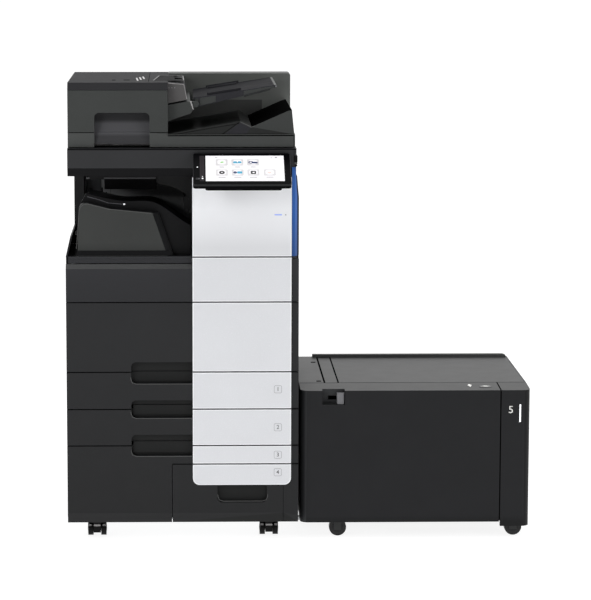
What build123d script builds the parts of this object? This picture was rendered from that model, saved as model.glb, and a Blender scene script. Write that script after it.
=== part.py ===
from build123d import *
import math
import os

# Floor-standing A3 colour copier with an in-body output tray, four paper drawers and a side paper unit.
# Millimetres. While modelling, X = 0 is the middle of the main cabinet, Y = 0 is the plane of its front
# doors (+Y to the rear) and Z = 0 is the floor. Every node is moved to the machine's own origin on export.

# ---------------------------------------------------------------- driving dimensions
HALF_WIDTH = 307.5          # half of the 615 mm cabinet width
COVER = 4.0                 # moulded cover thickness
SHEET = 3.0                 # folded steel thickness
CABINET_REAR = 555.0
CABINET_BOTTOM = 48.0
SIDE_COVER_FRONT = 24.0     # side covers start behind the wrap-round edges of doors and drawers

SEAM_TRAY_3_4 = 208.3       # heights of the seams between the fronts
SEAM_TRAY_2_3 = 258.4
SEAM_TRAY_1_2 = 356.8
SEAM_DOOR_TRAY = 456.7
SEAM_DOORS = 643.5
SEAM_TOWER = 763.4
HALF_SEAM = 0.9             # half the seam between dark fronts
HALF_PALE_SEAM = 1.6        # half the seam between pale panels
FRONT_DEPTH = 20.0

PALE_X = (26.4, 287.8)      # the pale column that runs down the right of the front
PALE_PROUD = 4.0
PALE_BOTTOM = 151.5
PALE_CORNER = 18.0
PALE_EDGE = 1.2

PULL_X = (-136.5, 26.4)     # finger recesses shared by two neighbouring fronts
PULL_DEPTH = 16.0
PULL_CORNER = 13.0
PULL_1 = (425.2, 483.0)
PULL_2 = (332.5, 380.8)
PULL_3 = (230.0, 287.9)
TONGUE_RISE = 9.2           # finger lips rise this far above their drawer's seam

TRAY_4_LEFT = -28.6         # left edge of the lower right drawer
TRAY_BOX_REAR = 480.0
TRAY_WALL = 2.5

CAVITY_FLOOR = 764.0
CAVITY_WALL_Y = 334.0
SCANNER_Z = (976.0, 1049.6)
SCANNER_X = (-301.0, 300.0)
SCANNER_REAR = 540.0
FEEDER_FRONT = 14.0
FEEDER_X = (-300.0, -37.4)
LID_Z = (1052.3, 1085.0)
FEEDER_Z = (1091.0, 1201.0)
MACHINE_TOP = 1221.0
LID_PIVOT = (547.0, 1054.0)
OUTPUT_EDGE = [(-37, 1086), (153, 1118.6), (182.6, 1104.5), (277.4, 1146), (288.5, 1149), (295, 1084)]
TRAY_LEFT = (30.0, 1178.7)  # ends of the sloping surface that holds the originals
TRAY_RIGHT = (248.0, 1212.3)
SCOOP_CORNER = 13.0

PANEL_TILT = 28.5           # control panel slope from horizontal
PANEL_SIZE = (254.0, 148.0, 12.0)
PANEL_CENTRE = (155.0, -73.0, 1003.0)
PANEL_PIVOT = (-20.0, 1006.0)
SCREEN_SIZE = (204.0, 118.0, 1.8)
SCREEN_OFFSET = (8.0, 2.0)
KEY_AT = (-112.0, -47.0)
KEY_SIZE = (16.0, 9.0)

CASTER_X = 231.0
CASTER_Y = (60.0, 495.0)
CASTER_TRAIL = 14.0
CASTER_RADIUS = 19.0
AXLE_RADIUS = 3.0
RUNNING_GAP = 0.05

SIDE_UNIT_X = (314.0, 928.0)
SIDE_UNIT_Y = (20.0, 566.0)
SIDE_UNIT_TOP = 405.0
SIDE_UNIT_LIP = 401.0       # height of the top at its front edge
SIDE_UNIT_CREASE = 121.0    # where the sloping front strip meets the level top
SIDE_UNIT_BOTTOM = 43.0
COLUMN_X = 850.5
LID_X = (421.5, 924.5)
SIDE_WHEEL_X = (416.0, 889.0)
SIDE_WHEEL_Y = (61.0, 531.0)
SIDE_WHEEL_RADIUS = 23.0
SIDE_WHEEL_WIDTH = 22.0

ORIGIN = (310.25, 213.98, 0.0)


# ---------------------------------------------------------------- helpers
def block(xs, ys, zs):
    """Box between two opposite corners, given as (low, high) pairs."""
    size = [high - low for low, high in (xs, ys, zs)]
    centre = [(high + low) / 2 for low, high in (xs, ys, zs)]
    return Pos(*centre) * Box(*size)


def along_y(points, ys):
    """Prism with an XZ outline."""
    outline = Polyline([(x, ys[0], z) for x, z in points], close=True)
    return extrude(make_face(outline), amount=ys[1] - ys[0], dir=(0, 1, 0))


def along_x(points, xs):
    """Prism with a YZ outline."""
    outline = Polyline([(xs[0], y, z) for y, z in points], close=True)
    return extrude(make_face(outline), amount=xs[1] - xs[0], dir=(1, 0, 0))


def along_z(points, zs):
    """Prism with an XY outline."""
    outline = Polyline([(x, y, zs[0]) for x, y in points], close=True)
    return extrude(make_face(outline), amount=zs[1] - zs[0], dir=(0, 0, 1))


def rod_x(radius, xs, y, z):
    return Pos((xs[0] + xs[1]) / 2, y, z) * Rot(0, 90, 0) * Cylinder(radius, xs[1] - xs[0])


def rod_y(radius, ys, x, z):
    return Pos(x, (ys[0] + ys[1]) / 2, z) * Rot(90, 0, 0) * Cylinder(radius, ys[1] - ys[0])


def rod_z(radius, zs, x, y):
    return Pos(x, y, (zs[0] + zs[1]) / 2) * Cylinder(radius, zs[1] - zs[0])


def upright_edges_at(solid, x, y):
    """Vertical edges of a solid that stand at (x, y)."""
    found = []
    for edge in solid.edges().filter_by(Axis.Z):
        centre = edge.center()
        if abs(centre.X - x) < 0.1 and abs(centre.Y - y) < 0.1:
            found.append(edge)
    return found


# ---------------------------------------------------------------- fronts, doors and drawers
def pull_pocket(heights):
    """Finger recess, square at its right end and rounded at its left corners."""
    pocket = block((PULL_X[0], PULL_X[1]), (-1, PULL_DEPTH), heights)
    corners = [e for e in pocket.edges().filter_by(Axis.Y) if e.center().X < PULL_X[0] + 1]
    return fillet(corners, PULL_CORNER)


def with_pulls(front, heights, pulls, depth):
    """Adds the backs of the finger recesses to a front and cuts the recesses."""
    for low, high in pulls:
        back_z = (max(heights[0], low - COVER), min(heights[1], high + COVER))
        front += block((PULL_X[0] - COVER, PULL_X[1] + COVER), (COVER, depth), back_z)
        front -= pull_pocket((low, high))
    return front


def front_shell(heights, depth=FRONT_DEPTH, xs=(-HALF_WIDTH, HALF_WIDTH), floor=COVER):
    """Front plate with returns round all four edges, open at the rear."""
    shell = block(xs, (0, depth), heights)
    inside_z = (heights[0] + floor, heights[1] - COVER)
    return shell - block((xs[0] + COVER, xs[1] - COVER), (COVER + 1, depth + 1), inside_z)


def right_corner_relief():
    """The fronts fall back a little towards the right-hand edge."""
    outline = [(268.7, -0.5), (308.5, -0.5), (308.5, 3.1), (268.7, 0.0)]
    return along_z(outline, (CABINET_BOTTOM - 1, SEAM_TOWER + 1))


def kick_relief():
    """The lowest 27 mm of the front slopes back towards the floor."""
    return along_x([(-1, 77.7), (-1, 47), (10.4, 47)], (-HALF_WIDTH - 1, HALF_WIDTH + 1))


def tongue(seam, pull):
    """Finger lip that stands in the recess above a drawer's own top edge."""
    xs = (PULL_X[0] + 5, PULL_X[1] - 0.6)
    return block(xs, (PULL_DEPTH - 3, PULL_DEPTH + 1), (pull[0] + 8, seam + TONGUE_RISE))


def tongue_slot(seam):
    """Room in the front above for the lip of the drawer below."""
    return block((PULL_X[0] - 5, PULL_X[1] + 5), (9, FRONT_DEPTH + 5), (seam - 1, seam + TONGUE_RISE + 1))


def drawer(front, xs, zs, front_top):
    """Drawer of a moulded front and a box of flat sheets: floor, sides, rear, tall front wall and a low rib."""
    wall = TRAY_WALL
    inside = (xs[0] + wall, xs[1] - wall)
    rib_x = xs[0] + 0.72 * (xs[1] - xs[0])
    floor_top = zs[0] + wall
    return Compound([
        front,
        block(xs, (FRONT_DEPTH, TRAY_BOX_REAR), (zs[0], floor_top)),
        block((xs[0], inside[0]), (FRONT_DEPTH, TRAY_BOX_REAR), (floor_top, zs[1])),
        block((inside[1], xs[1]), (FRONT_DEPTH, TRAY_BOX_REAR), (floor_top, zs[1])),
        block(inside, (FRONT_DEPTH, FRONT_DEPTH + wall), (floor_top, front_top)),
        block(inside, (TRAY_BOX_REAR - wall, TRAY_BOX_REAR), (floor_top, zs[1])),
        block((rib_x, rib_x + 3), (60, 440), (floor_top, zs[0] + 12)),
    ])


def tray_1():
    heights = (SEAM_TRAY_1_2 + HALF_SEAM, SEAM_DOOR_TRAY - HALF_SEAM)
    front = with_pulls(front_shell(heights), heights, (PULL_1, PULL_2), FRONT_DEPTH)
    front -= tongue_slot(SEAM_TRAY_1_2)
    return drawer(front - right_corner_relief(), (-285, 285), (369, 446), 453)


def tray_2():
    heights = (SEAM_TRAY_2_3 + HALF_SEAM, SEAM_TRAY_1_2 - HALF_SEAM)
    front = with_pulls(front_shell(heights), heights, (PULL_2, PULL_3), FRONT_DEPTH)
    front -= tongue_slot(SEAM_TRAY_2_3)
    front += tongue(SEAM_TRAY_1_2, PULL_2)
    return drawer(front - right_corner_relief(), (-285, 285), (271, 347), 353)


def tray_3():
    """Left drawer, whose front is an L: a strip across the top and a deep part on the left."""
    top = SEAM_TRAY_2_3 - HALF_SEAM
    strip_bottom = SEAM_TRAY_3_4 + HALF_SEAM
    left_part_right = TRAY_4_LEFT - HALF_SEAM
    front = block((-HALF_WIDTH, HALF_WIDTH), (0, FRONT_DEPTH), (CABINET_BOTTOM, top))
    corner = block((left_part_right, HALF_WIDTH + 1), (-1, FRONT_DEPTH + 1), (CABINET_BOTTOM - 1, strip_bottom))
    inner = [e for e in corner.edges().filter_by(Axis.Y)
             if e.center().X < left_part_right + 1 and e.center().Z > strip_bottom - 1]
    front -= fillet(inner, 5)
    front -= block((-HALF_WIDTH + COVER, left_part_right - COVER), (COVER + 1, FRONT_DEPTH + 1), (80, top - COVER))
    front -= block((left_part_right + 4, HALF_WIDTH - COVER), (COVER + 1, FRONT_DEPTH + 1),
                   (strip_bottom + COVER, top - COVER))
    front = with_pulls(front, (CABINET_BOTTOM, top), (PULL_3,), FRONT_DEPTH)
    front += tongue(SEAM_TRAY_2_3, PULL_3)
    front -= kick_relief()
    return drawer(front - right_corner_relief(), (-294, -38), (62, 246), 254.5)


def tray_4():
    """Right-hand drawer under the strip, with its own finger recess below the pale column."""
    heights = (CABINET_BOTTOM, SEAM_TRAY_3_4 - HALF_SEAM)
    left = TRAY_4_LEFT + HALF_SEAM
    front = block((left, HALF_WIDTH), (0, FRONT_DEPTH), heights)
    top_left = [e for e in front.edges().filter_by(Axis.Y) if e.center().X < left + 1 and e.center().Z > 200]
    front = fillet(top_left, 4)
    front -= block((left + COVER, HALF_WIDTH - COVER), (COVER + 1, FRONT_DEPTH + 1), (80, heights[1] - COVER))
    front += block((87, 229), (COVER, FRONT_DEPTH), (98, 172))
    pocket = block((91.8, 224.1), (-1, PULL_DEPTH), (103, 167))
    low_corners = [e for e in pocket.edges().filter_by(Axis.Y) if e.center().Z < 110]
    front -= fillet(low_corners, PULL_CORNER)
    front -= kick_relief()
    return drawer(front - right_corner_relief(), (-22, 292), (62, 196), 204.5)


def lower_door():
    heights = (SEAM_DOOR_TRAY + HALF_SEAM, SEAM_DOORS - HALF_SEAM)
    door = with_pulls(front_shell(heights), heights, (PULL_1,), FRONT_DEPTH)
    return door - right_corner_relief()


def upper_door():
    """Lower on the left, where a bevel along its top edge leaves a finger gap under the output tray."""
    low = SEAM_DOORS + HALF_SEAM
    depth = 14.0
    door = front_shell((low, 757.5), depth)
    door -= block((-HALF_WIDTH - 1, PALE_X[0] - 1), (-1, depth + 1), (744, 758))
    door += block((-HALF_WIDTH, PALE_X[0] + 3), (COVER, depth), (732, 744))
    door += block((PALE_X[0] - 1, PALE_X[0] + 3), (COVER, depth), (740, 757.5))
    door -= along_x([(-1, 730.5), (8, 744), (8, 745), (-1, 745)], (-HALF_WIDTH - 1, PALE_X[0] - 1))
    return door - right_corner_relief()


def pale_panel(heights, corner=0.0):
    """One section of the pale column: a proud plate with a fine bevel round its face."""
    panel = block(PALE_X, (-PALE_PROUD, 0), heights)
    if corner:
        low_corners = [e for e in panel.edges().filter_by(Axis.Y) if e.center().Z < heights[0] + 1]
        panel = fillet(low_corners, corner)
    face = panel.faces().sort_by(Axis.Y)[0]
    return chamfer(face.edges(), PALE_EDGE)


def pale_column():
    """The pale panels, one for each front they are fixed to."""
    seams = (SEAM_TRAY_3_4, SEAM_TRAY_2_3, SEAM_TRAY_1_2, SEAM_DOOR_TRAY, SEAM_DOORS, SEAM_TOWER)
    names = ("tray_3_panel", "tray_2_panel", "tray_1_panel", "lower_door_panel", "upper_door_panel")
    panels = {"tray_4_panel": pale_panel((PALE_BOTTOM, SEAM_TRAY_3_4 - HALF_PALE_SEAM), PALE_CORNER)}
    for name, low, high in zip(names, seams, seams[1:]):
        panels[name] = pale_panel((low + HALF_PALE_SEAM, high - HALF_PALE_SEAM))
    panels["tower_front"] = pale_panel((SEAM_TOWER + HALF_PALE_SEAM, SCANNER_Z[0] - 2))
    return panels


# ---------------------------------------------------------------- cabinet structure and covers
def main_frame():
    """Steel frame of flat sheets: base, sides, rear, engine deck, drawer runners and docking rails."""
    side = HALF_WIDTH - COVER - 1.5
    inner = side - SHEET
    window = (-262, 150)
    sheets = [
        block((-side, -200), (32, 545), (52, 57)),
        block((-200, 200), (32, 545), (52, 57)),
        block((200, side), (32, 545), (52, 57)),
        block((-side, -inner), (32, 545), (57, 745)),
        block((inner, side), (32, 545), (57, 455)),
        block((-inner, inner), (505, 508), (57, 455)),
        block((-inner, side), (505, 508), (455, 755)),
        block((-288, 288), (505, 508), (755, SCANNER_Z[0])),
        block((-inner, side), (35, 505), (459, 462)),
        block((-inner, window[0]), (32, 35), (455, 757.5)),
        block((window[1], 288), (32, 35), (455, 757.5)),
        block((288, side), (24, 40), (462, 757.5)),
        block((-35, -32), (32, 505), (57, 210)),
        block((-35, inner), (32, 505), (210, 213)),
    ]
    for heights in ((455, 505), (600, 652), (735, 757.5)):
        sheets.append(block(window, (32, 35), heights))
    for runner_z in (365, 267):
        sheets.append(block((-inner, -278), (35, 500), (runner_z, runner_z + 3)))
        sheets.append(block((278, inner), (35, 500), (runner_z, runner_z + 3)))
    for runner_x in (-292, -52, -20, 280):
        sheets.append(block((runner_x, runner_x + 10), (35, 500), (57, 61)))
    for rail_y in (100, 470):
        sheets.append(block((280, 560), (rail_y, rail_y + 20), (32, 41)))
        sheets.append(block((280, 298), (rail_y, rail_y + 20), (41, 52)))
    for x in (-CASTER_X, CASTER_X):
        for y in CASTER_Y:
            sheets.append(block((x - 25, x + 25), (y - 25, y + 25), (46, 52)))
    return Compound(sheets)


def left_cover():
    """Left skin: upright wall, sloping shoulder and the post that closes the output opening at the rear."""
    wall = block((-HALF_WIDTH, -HALF_WIDTH + COVER), (SIDE_COVER_FRONT, CABINET_REAR), (CABINET_BOTTOM, 763))
    shoulder = [(-307.5, 763), (-295, 818), (-291, 818), (-291, 812), (-303.5, 759), (-303.5, 755), (-307.5, 755)]
    wall += along_y(shoulder, (FRONT_DEPTH + 4, CABINET_REAR))
    wall += along_y([(-307.5, 763), (-295, 818), (-291, 818), (-303.2, 764.5)], (8, FRONT_DEPTH + 4))
    wall += block((-295, -291), (300, CABINET_REAR), (812, SCANNER_Z[0]))
    wall += block((-291, -268), (300, 304), (766, SCANNER_Z[0]))
    return wall


def right_cover():
    """Right skin with the opening for the paper-path door; its top leans in under the scanner."""
    rear = CABINET_REAR
    inside = HALF_WIDTH - COVER
    profile = [(HALF_WIDTH, 48), (HALF_WIDTH, 918), (302.5, 976), (298.5, 976), (inside, 918), (inside, 48)]
    wall = along_y(profile, (SIDE_COVER_FRONT, rear))
    upper = [(HALF_WIDTH, 766), (HALF_WIDTH, 918), (302.5, 976), (298.5, 976), (inside, 918), (inside, 766)]
    wall += along_y(upper, (15, SIDE_COVER_FRONT))
    return wall - block((inside - 5, HALF_WIDTH + 1), (60, 470), (480, 930))


def rear_cover():
    """Rear skin with two fields of cooling louvres and the cut-out for the mains inlet."""
    cover = block((-303.4, 303.4), (CABINET_REAR - COVER, CABINET_REAR), (CABINET_BOTTOM, 754))
    cover += block((-290.5, 303.4), (CABINET_REAR - COVER, CABINET_REAR), (754, 917))
    cover += block((-290.5, 298), (CABINET_REAR - COVER, CABINET_REAR), (917, 974))
    for x in (-250, 90):
        for row in range(9):
            z = 560 + 14 * row
            cover -= block((x, x + 150), (CABINET_REAR - COVER - 1, CABINET_REAR + 1), (z, z + 5))
    return cover - block((212, 246), (CABINET_REAR - COVER - 1, CABINET_REAR + 1), (117, 147))


def upper_casing():
    """Floor and rear wall of the output opening, with the casing of the tower to its right."""
    casing = block((-301, 286), (8, 504.5), (760, CAVITY_FLOOR)) + block((286, 302.5), (8, 50), (760, CAVITY_FLOOR))
    casing += along_x([(8, 746.5), (12, 746.5), (12, 760), (20, 760), (20, CAVITY_FLOOR), (14, CAVITY_FLOOR),
                       (9, 760)], (-301, PALE_X[0] - 2))
    casing += block((PALE_X[0], 302.5), (0, 8), (760, CAVITY_FLOOR))
    casing += block((PALE_X[0], PALE_X[0] + COVER), (0, 504.5), (CAVITY_FLOOR, SCANNER_Z[0]))
    casing += block((PALE_X[0], 288), (0, COVER), (CAVITY_FLOOR, SCANNER_Z[0]))
    casing += block((-266, PALE_X[0]), (CAVITY_WALL_Y, CAVITY_WALL_Y + COVER), (CAVITY_FLOOR, SCANNER_Z[0]))
    return casing - along_z([(268.7, -0.5), (308.5, -0.5), (308.5, 3.1), (268.7, 0.0)], (759, 765))


def blue_accent():
    """Coloured corner trim of the tower, bevelled towards the side and leaning in at its top."""
    outline = [(288.8, 1.0), (297, 2.2), (303, 9.5), (303, 14), (299, 14), (295.2, 6.4), (288.8, 5.4)]
    trim = along_z(outline, (SEAM_TOWER + 1.6, 1000))
    return trim - along_y([(303.2, 918), (310, 918), (310, 1001), (297.8, 1001)], (0, 20))


def wave_edge(drop):
    """Top edge of the output tray in XZ, lowered by drop: high at the left and falling to the right."""
    points = [(-254, 928), (-206, 916), (-150, 907), (-74, 904), (-30, 878), (22, 842.5)]
    return [(x, 40, z - drop) for x, z in points]


def wave_prism(drop, left, right, floor, ys):
    """Prism under the wave edge between two X values."""
    edge = wave_edge(drop)
    top = Spline(edge)
    side = [edge[-1], (right, 40, floor), (left, 40, floor), (left - 4, 40, 905 - drop), edge[0]]
    face = make_face([top, Polyline(side)])
    return Pos(0, ys[0] - 40, 0) * extrude(face, amount=ys[1] - ys[0], dir=(0, 1, 0))


def inner_tray():
    """Output tray: front cover, wave-shaped fence, and the lower paper bed behind it; hollow underneath."""
    cover_outline = [(-276, 764.2), (-271.7, 893.6), (-265.8, 902.3), (-257.6, 905.2), (-250.5, 905.2),
                     (-189.5, 889.9), (-62.7, 878), (-23.3, 764.2)]
    cover = along_y(cover_outline, (12, 40))
    slanted = [e for e in cover.faces().sort_by(Axis.Y)[0].edges()
               if -60 < e.center().X < -30 and 800 < e.center().Z < 840]
    cover = chamfer(slanted, 15)
    tray = cover + wave_prism(0, -262, 22, 764.2, (40, 62))
    tray += wave_prism(16, -262, 22, 764.2, (62, 330))
    inside_front = [(-268, 760), (-265, 888), (-191, 882), (-76, 868), (-40, 760)]
    tray -= along_y(inside_front, (18, 36))
    inside_bed = wave_prism(20, -256, 18, 760, (44, 326))
    return tray - inside_bed


def exit_unit():
    """Paper exit housing at the right of the output opening, with bearings for its roller shaft."""
    body = [(-66, 975), (-66, 944), (-20, 932), (8, 916), (24, 890), (24, 975)]
    unit = along_y(body, (150, 330))
    bearing = [(6, 864), (19, 864), (24, 892), (10, 910), (2, 905)]
    for y in (150, 325):
        unit += along_y(bearing, (y, y + 5))
    unit += block((-250, -66), (180, 330), (952, 975))
    return unit - rod_y(AXLE_RADIUS + RUNNING_GAP, (140, 340), 12, 872)


def exit_rollers():
    rollers = rod_y(AXLE_RADIUS, (151, 329), 12, 872)
    for y in (170, 215, 260, 300):
        rollers += rod_y(8, (y, y + 14), 12, 872)
    return rollers


# ---------------------------------------------------------------- print engine
def laser_unit():
    unit = block((-262, 200), (60, 480), (468, 494))
    unit += block((-200, 140), (110, 430), (494, 499))
    return chamfer(unit.edges().filter_by(Axis.Z), 6)


def engine_pitch():
    """Centres of the four colour stations."""
    return [-215 + 90 * i for i in range(4)]


def drum_units():
    """Four photoconductor units side by side, each with its grip tab at the front."""
    units = []
    for x in engine_pitch():
        unit = block((x - 38, x + 38), (40, 470), (516, 572))
        unit += rod_y(15, (40, 470), x, 517)
        unit += block((x - 14, x + 14), (29, 40), (538, 560))
        units.append(unit)
    return Compound([solid for unit in units for solid in unit.solids()])


def transfer_belt_unit():
    """Intermediate belt running round two rollers, with its end plates."""
    belt = block((-240, 120), (60, 460), (588, 628))
    belt += rod_y(20, (60, 460), -240, 608) + rod_y(20, (60, 460), 120, 608)
    belt += block((-255, 135), (54, 60), (596, 620)) + block((-255, 135), (460, 466), (596, 620))
    return belt


def toner_bottles():
    """Four bottles, each with a narrower neck at the rear and a ribbed front cap."""
    bottles = []
    for x in engine_pitch():
        bottle = rod_y(36, (44, 430), x, 693)
        bottle += rod_y(20, (430, 460), x, 693)
        bottle += rod_y(30, (30, 44), x, 693)
        bottle += block((x - 20, x + 20), (22, 30), (689, 697))
        bottles.append(bottle)
    return Compound([solid for bottle in bottles for solid in bottle.solids()])


def fuser_unit():
    """Heated roller pair in a housing that is open towards the paper path."""
    housing = block((185, 282), (60, 470), (640, 745))
    housing -= block((200, 283), (68, 462), (672, 713))
    housing += rod_y(17, (66, 464), 226, 692.5)
    housing += rod_y(17, (66, 464), 260.2, 692.5)
    return housing


def power_supply():
    """Power supply behind the rear wall, with cooling fins along its top."""
    supply = block((-280, -110), (509, 542), (480, 540))
    for fin in range(12):
        supply += block((-276 + 14 * fin, -272 + 14 * fin), (512, 540), (540, 552))
    return supply


def power_inlet():
    """Three-pin mains inlet, sitting in the rear cover."""
    inlet = block((212.3, 245.7), (530, CABINET_REAR), (117.3, 146.7))
    inlet += block((206, 252), (CABINET_REAR - COVER - 3, CABINET_REAR - COVER), (112, 152))
    inlet -= block((216, 242), (537, CABINET_REAR + 1), (121, 143))
    for x, z in ((221, 129), (229, 136), (237, 129)):
        inlet += block((x - 1, x + 1), (536, 552), (z - 2, z + 2))
    return inlet


# ---------------------------------------------------------------- right-hand door and bypass
def right_door():
    """Paper-path door with the transport guide on its inner side."""
    door = block((HALF_WIDTH - COVER, HALF_WIDTH), (61.5, 468.5), (481.5, 928.5))
    door += block((292, HALF_WIDTH - COVER), (80, 450), (496, 912))
    for rib in range(8):
        y = 100 + 46 * rib
        door += block((288, 292), (y, y + 3), (510, 900))
    return door - block((300, HALF_WIDTH + 1), (108.5, 421.5), (598, 718))


def bypass_tray():
    """Fold-down tray for single sheets, closed flush in the right-hand door."""
    tray = block((300.5, 307.3), (110, 420), (599.5, 716.5))
    return tray - block((303.5, 308), (230, 300), (702, 717))


# ---------------------------------------------------------------- scanner and control panel
def scanner_housing():
    """Scanner housing with platen opening, carriage ledges, panel bracket arms and rear hinge ears."""
    x0, x1 = SCANNER_X
    z0, z1 = SCANNER_Z
    case = block((x0, x1), (0, SCANNER_REAR), (z0, z1))
    case -= along_x([(-1, 1000), (-1, 975), (12.5, 975)], (x0 - 1, x1 + 1))
    case -= block((x0 + 5, x1 - 5), (14, SCANNER_REAR - 5), (z0 + 5, z1 - 6.6))
    case -= block((-242, 202), (73, 387), (z1 - 7, z1 + 1))
    case += block((-242, 202), (73, 387), (z1 - 6.6, z1 - 4.8)) - block((-236, 196), (79, 381), (1000, z1))
    case -= block((-272, -254), (73, 387), (z1 - 7, z1 + 1))
    case += block((x0 + 5, x1 - 5), (40, 52), (1003, 1013))
    case += block((x0 + 5, x1 - 5), (408, 420), (1003, 1013))
    case -= block((286, x1 + 1), (-1, 16), (z0 - 1, 1001.5))
    case += block((284, 286), (12, 18), (z0, 1003)) + block((284, x1), (16, 18), (z0, 1003))
    y, z = PANEL_PIVOT
    for arm_x in ((60, 90), (220, 250)):
        case += block(arm_x, (y, 0.5), (z - 3.5, z + 7)) + rod_x(7, arm_x, y, z)
    case += rod_x(AXLE_RADIUS, (60, 250), y, z)
    for x in (-210, 210):
        case += block((x - 24, x + 24), (SCANNER_REAR - 1, 554), (1010, 1045))
        for ear in ((x - 24, x - 18), (x + 18, x + 24)):
            case += block(ear, (541, 553), (1045, 1054)) + rod_x(6, ear, 547, 1054)
        case += rod_x(4, (x - 24, x + 24), 547, 1054)
    return case


def platen_glass():
    """Large exposure glass and the narrow strip used when sheets are fed."""
    top = SCANNER_Z[1]
    glass = block((-241.6, 201.6), (73.4, 386.6), (top - 4.8, top - 0.3))
    strip = block((-271.6, -254.4), (73.4, 386.6), (top - 4.8, top - 0.3))
    return Compound([*glass.solids(), *strip.solids()])


def scanner_carriage():
    """Lamp and first mirror carriage, riding on the two ledges inside the scanner."""
    carriage = block((-288, -238), (42, 418), (1013.5, 1022))
    carriage += block((-282, -246), (56, 404), (1022, 1034))
    carriage -= block((-266, -260), (70, 390), (1028, 1035))
    carriage += block((-282, -246), (56, 404), (1000, 1013.5))
    return carriage


def panel_frame():
    """Work plane on the panel's upper face; local Y runs up the slope."""
    slope = math.radians(PANEL_TILT)
    return Plane(origin=PANEL_CENTRE, x_dir=(1, 0, 0), z_dir=(0, -math.sin(slope), math.cos(slope)))


def panel_block(centre_xy, size_xy, low, high, corner=0.0):
    """Box in the panel's own coordinates, with optional rounded corners."""
    solid = Pos(centre_xy[0], centre_xy[1], (low + high) / 2) * Box(*size_xy, high - low)
    if corner:
        solid = fillet(solid.edges().filter_by(Axis.Z), corner)
    return panel_frame().location * solid


def control_panel():
    """Tilting panel: slim front, deeper rear housing, screen recess, key pocket and hinge knuckles."""
    thickness = PANEL_SIZE[2]
    panel = panel_block((0, 0), PANEL_SIZE[:2], -thickness, 0, 7)
    panel += panel_block((4, -20), (198, 84), -thickness - 14, -thickness, 6)
    recess = (SCREEN_SIZE[0] + 1, SCREEN_SIZE[1] + 1)
    panel -= panel_block(SCREEN_OFFSET, recess, -SCREEN_SIZE[2] - 0.2, 1)
    pocket = (KEY_SIZE[0] + 0.8, KEY_SIZE[1] + 0.8)
    panel -= panel_block(KEY_AT, pocket, -7, 1, 2)
    y, z = PANEL_PIVOT
    link = [(y - 6, z), (y + 6, z), (y + 6, z + 17), (y - 6, z + 11)]
    for knuckle in ((92, 112), (198, 218)):
        panel += along_x(link, knuckle) + rod_x(7, knuckle, y, z)
    return panel - rod_x(AXLE_RADIUS + RUNNING_GAP, (80, 230), y, z)


def touch_screen():
    return panel_block(SCREEN_OFFSET, SCREEN_SIZE[:2], -SCREEN_SIZE[2], 0.2)


def power_key():
    return panel_block(KEY_AT, KEY_SIZE, -4.5, 0.8, 1.8)


# ---------------------------------------------------------------- document feeder
def handle_scoop():
    """Curved hand recess in the front of the lid: deep under its top edge, shallow at the bottom."""
    wall = Spline([(-230, 46, 1138), (-230, 40, 1112), (-230, 28, 1085), (-230, 23, 1050)])
    edge = Polyline([(-230, 23, 1050), (-230, 5, 1050), (-230, 5, 1142.6), (-230, 42, 1142.6), (-230, 46, 1138)])
    scoop = extrude(make_face([wall, edge]), amount=145, dir=(1, 0, 0))
    top_corners = [e for e in scoop.edges().filter_by(Axis.Y) if e.center().Z > 1140]
    return fillet(top_corners, SCOOP_CORNER)


def df_base():
    """Lid casting: base, sloping output tray, rear wall and hinge barrels; hollow underneath."""
    x0, x1 = FEEDER_X[0], 297
    bottom, top = LID_Z
    base = block((x0, x1), (FEEDER_FRONT, SCANNER_REAR), (bottom, top))
    base += block((x0, FEEDER_X[1]), (FEEDER_FRONT, SCANNER_REAR), (top - 1, FEEDER_Z[0] - 0.6))
    base += along_y([(-37, top - 1)] + OUTPUT_EDGE, (18, 452))
    rear = block((-37, 301), (450, SCANNER_REAR), (top - 1, MACHINE_TOP))
    top_right = [e for e in rear.edges().filter_by(Axis.Y) if e.center().X > 300 and e.center().Z > 1200]
    base += fillet(top_right, 6)
    base -= block((x0 + 5, x1 - 5), (FEEDER_FRONT + 5, SCANNER_REAR - 5), (bottom - 1, top - 4))
    base -= along_y([(-30, 1078), (-30, 1082), (153, 1113.6), (182, 1099), (276, 1140.5), (284, 1142),
                     (290, 1078)], (23, 446))
    base -= block((-32, 296), (455, SCANNER_REAR - 5), (1078, MACHINE_TOP - 5))
    base += block((-235, -80), (FEEDER_FRONT, 50), (1059, FEEDER_Z[0] - 0.6))
    base -= handle_scoop()
    y, z = LID_PIVOT
    for x in (-210, 210):
        base += rod_x(7, (x - 17, x + 17), y, z)
        base += block((x - 17, x + 17), (537, y), (1053, 1061))
        base -= rod_x(4 + RUNNING_GAP, (x - 20, x + 20), y, z)
    base += rod_y(4, (412, 452), 40, 1163)
    return base


def platen_pad():
    """White backing pad pressed on the glass by the lid."""
    return block((-290, 287), (60, 520), (1052.6, 1057.5))


def feeder_roller_axis():
    return -90.0, 1168.0


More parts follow.
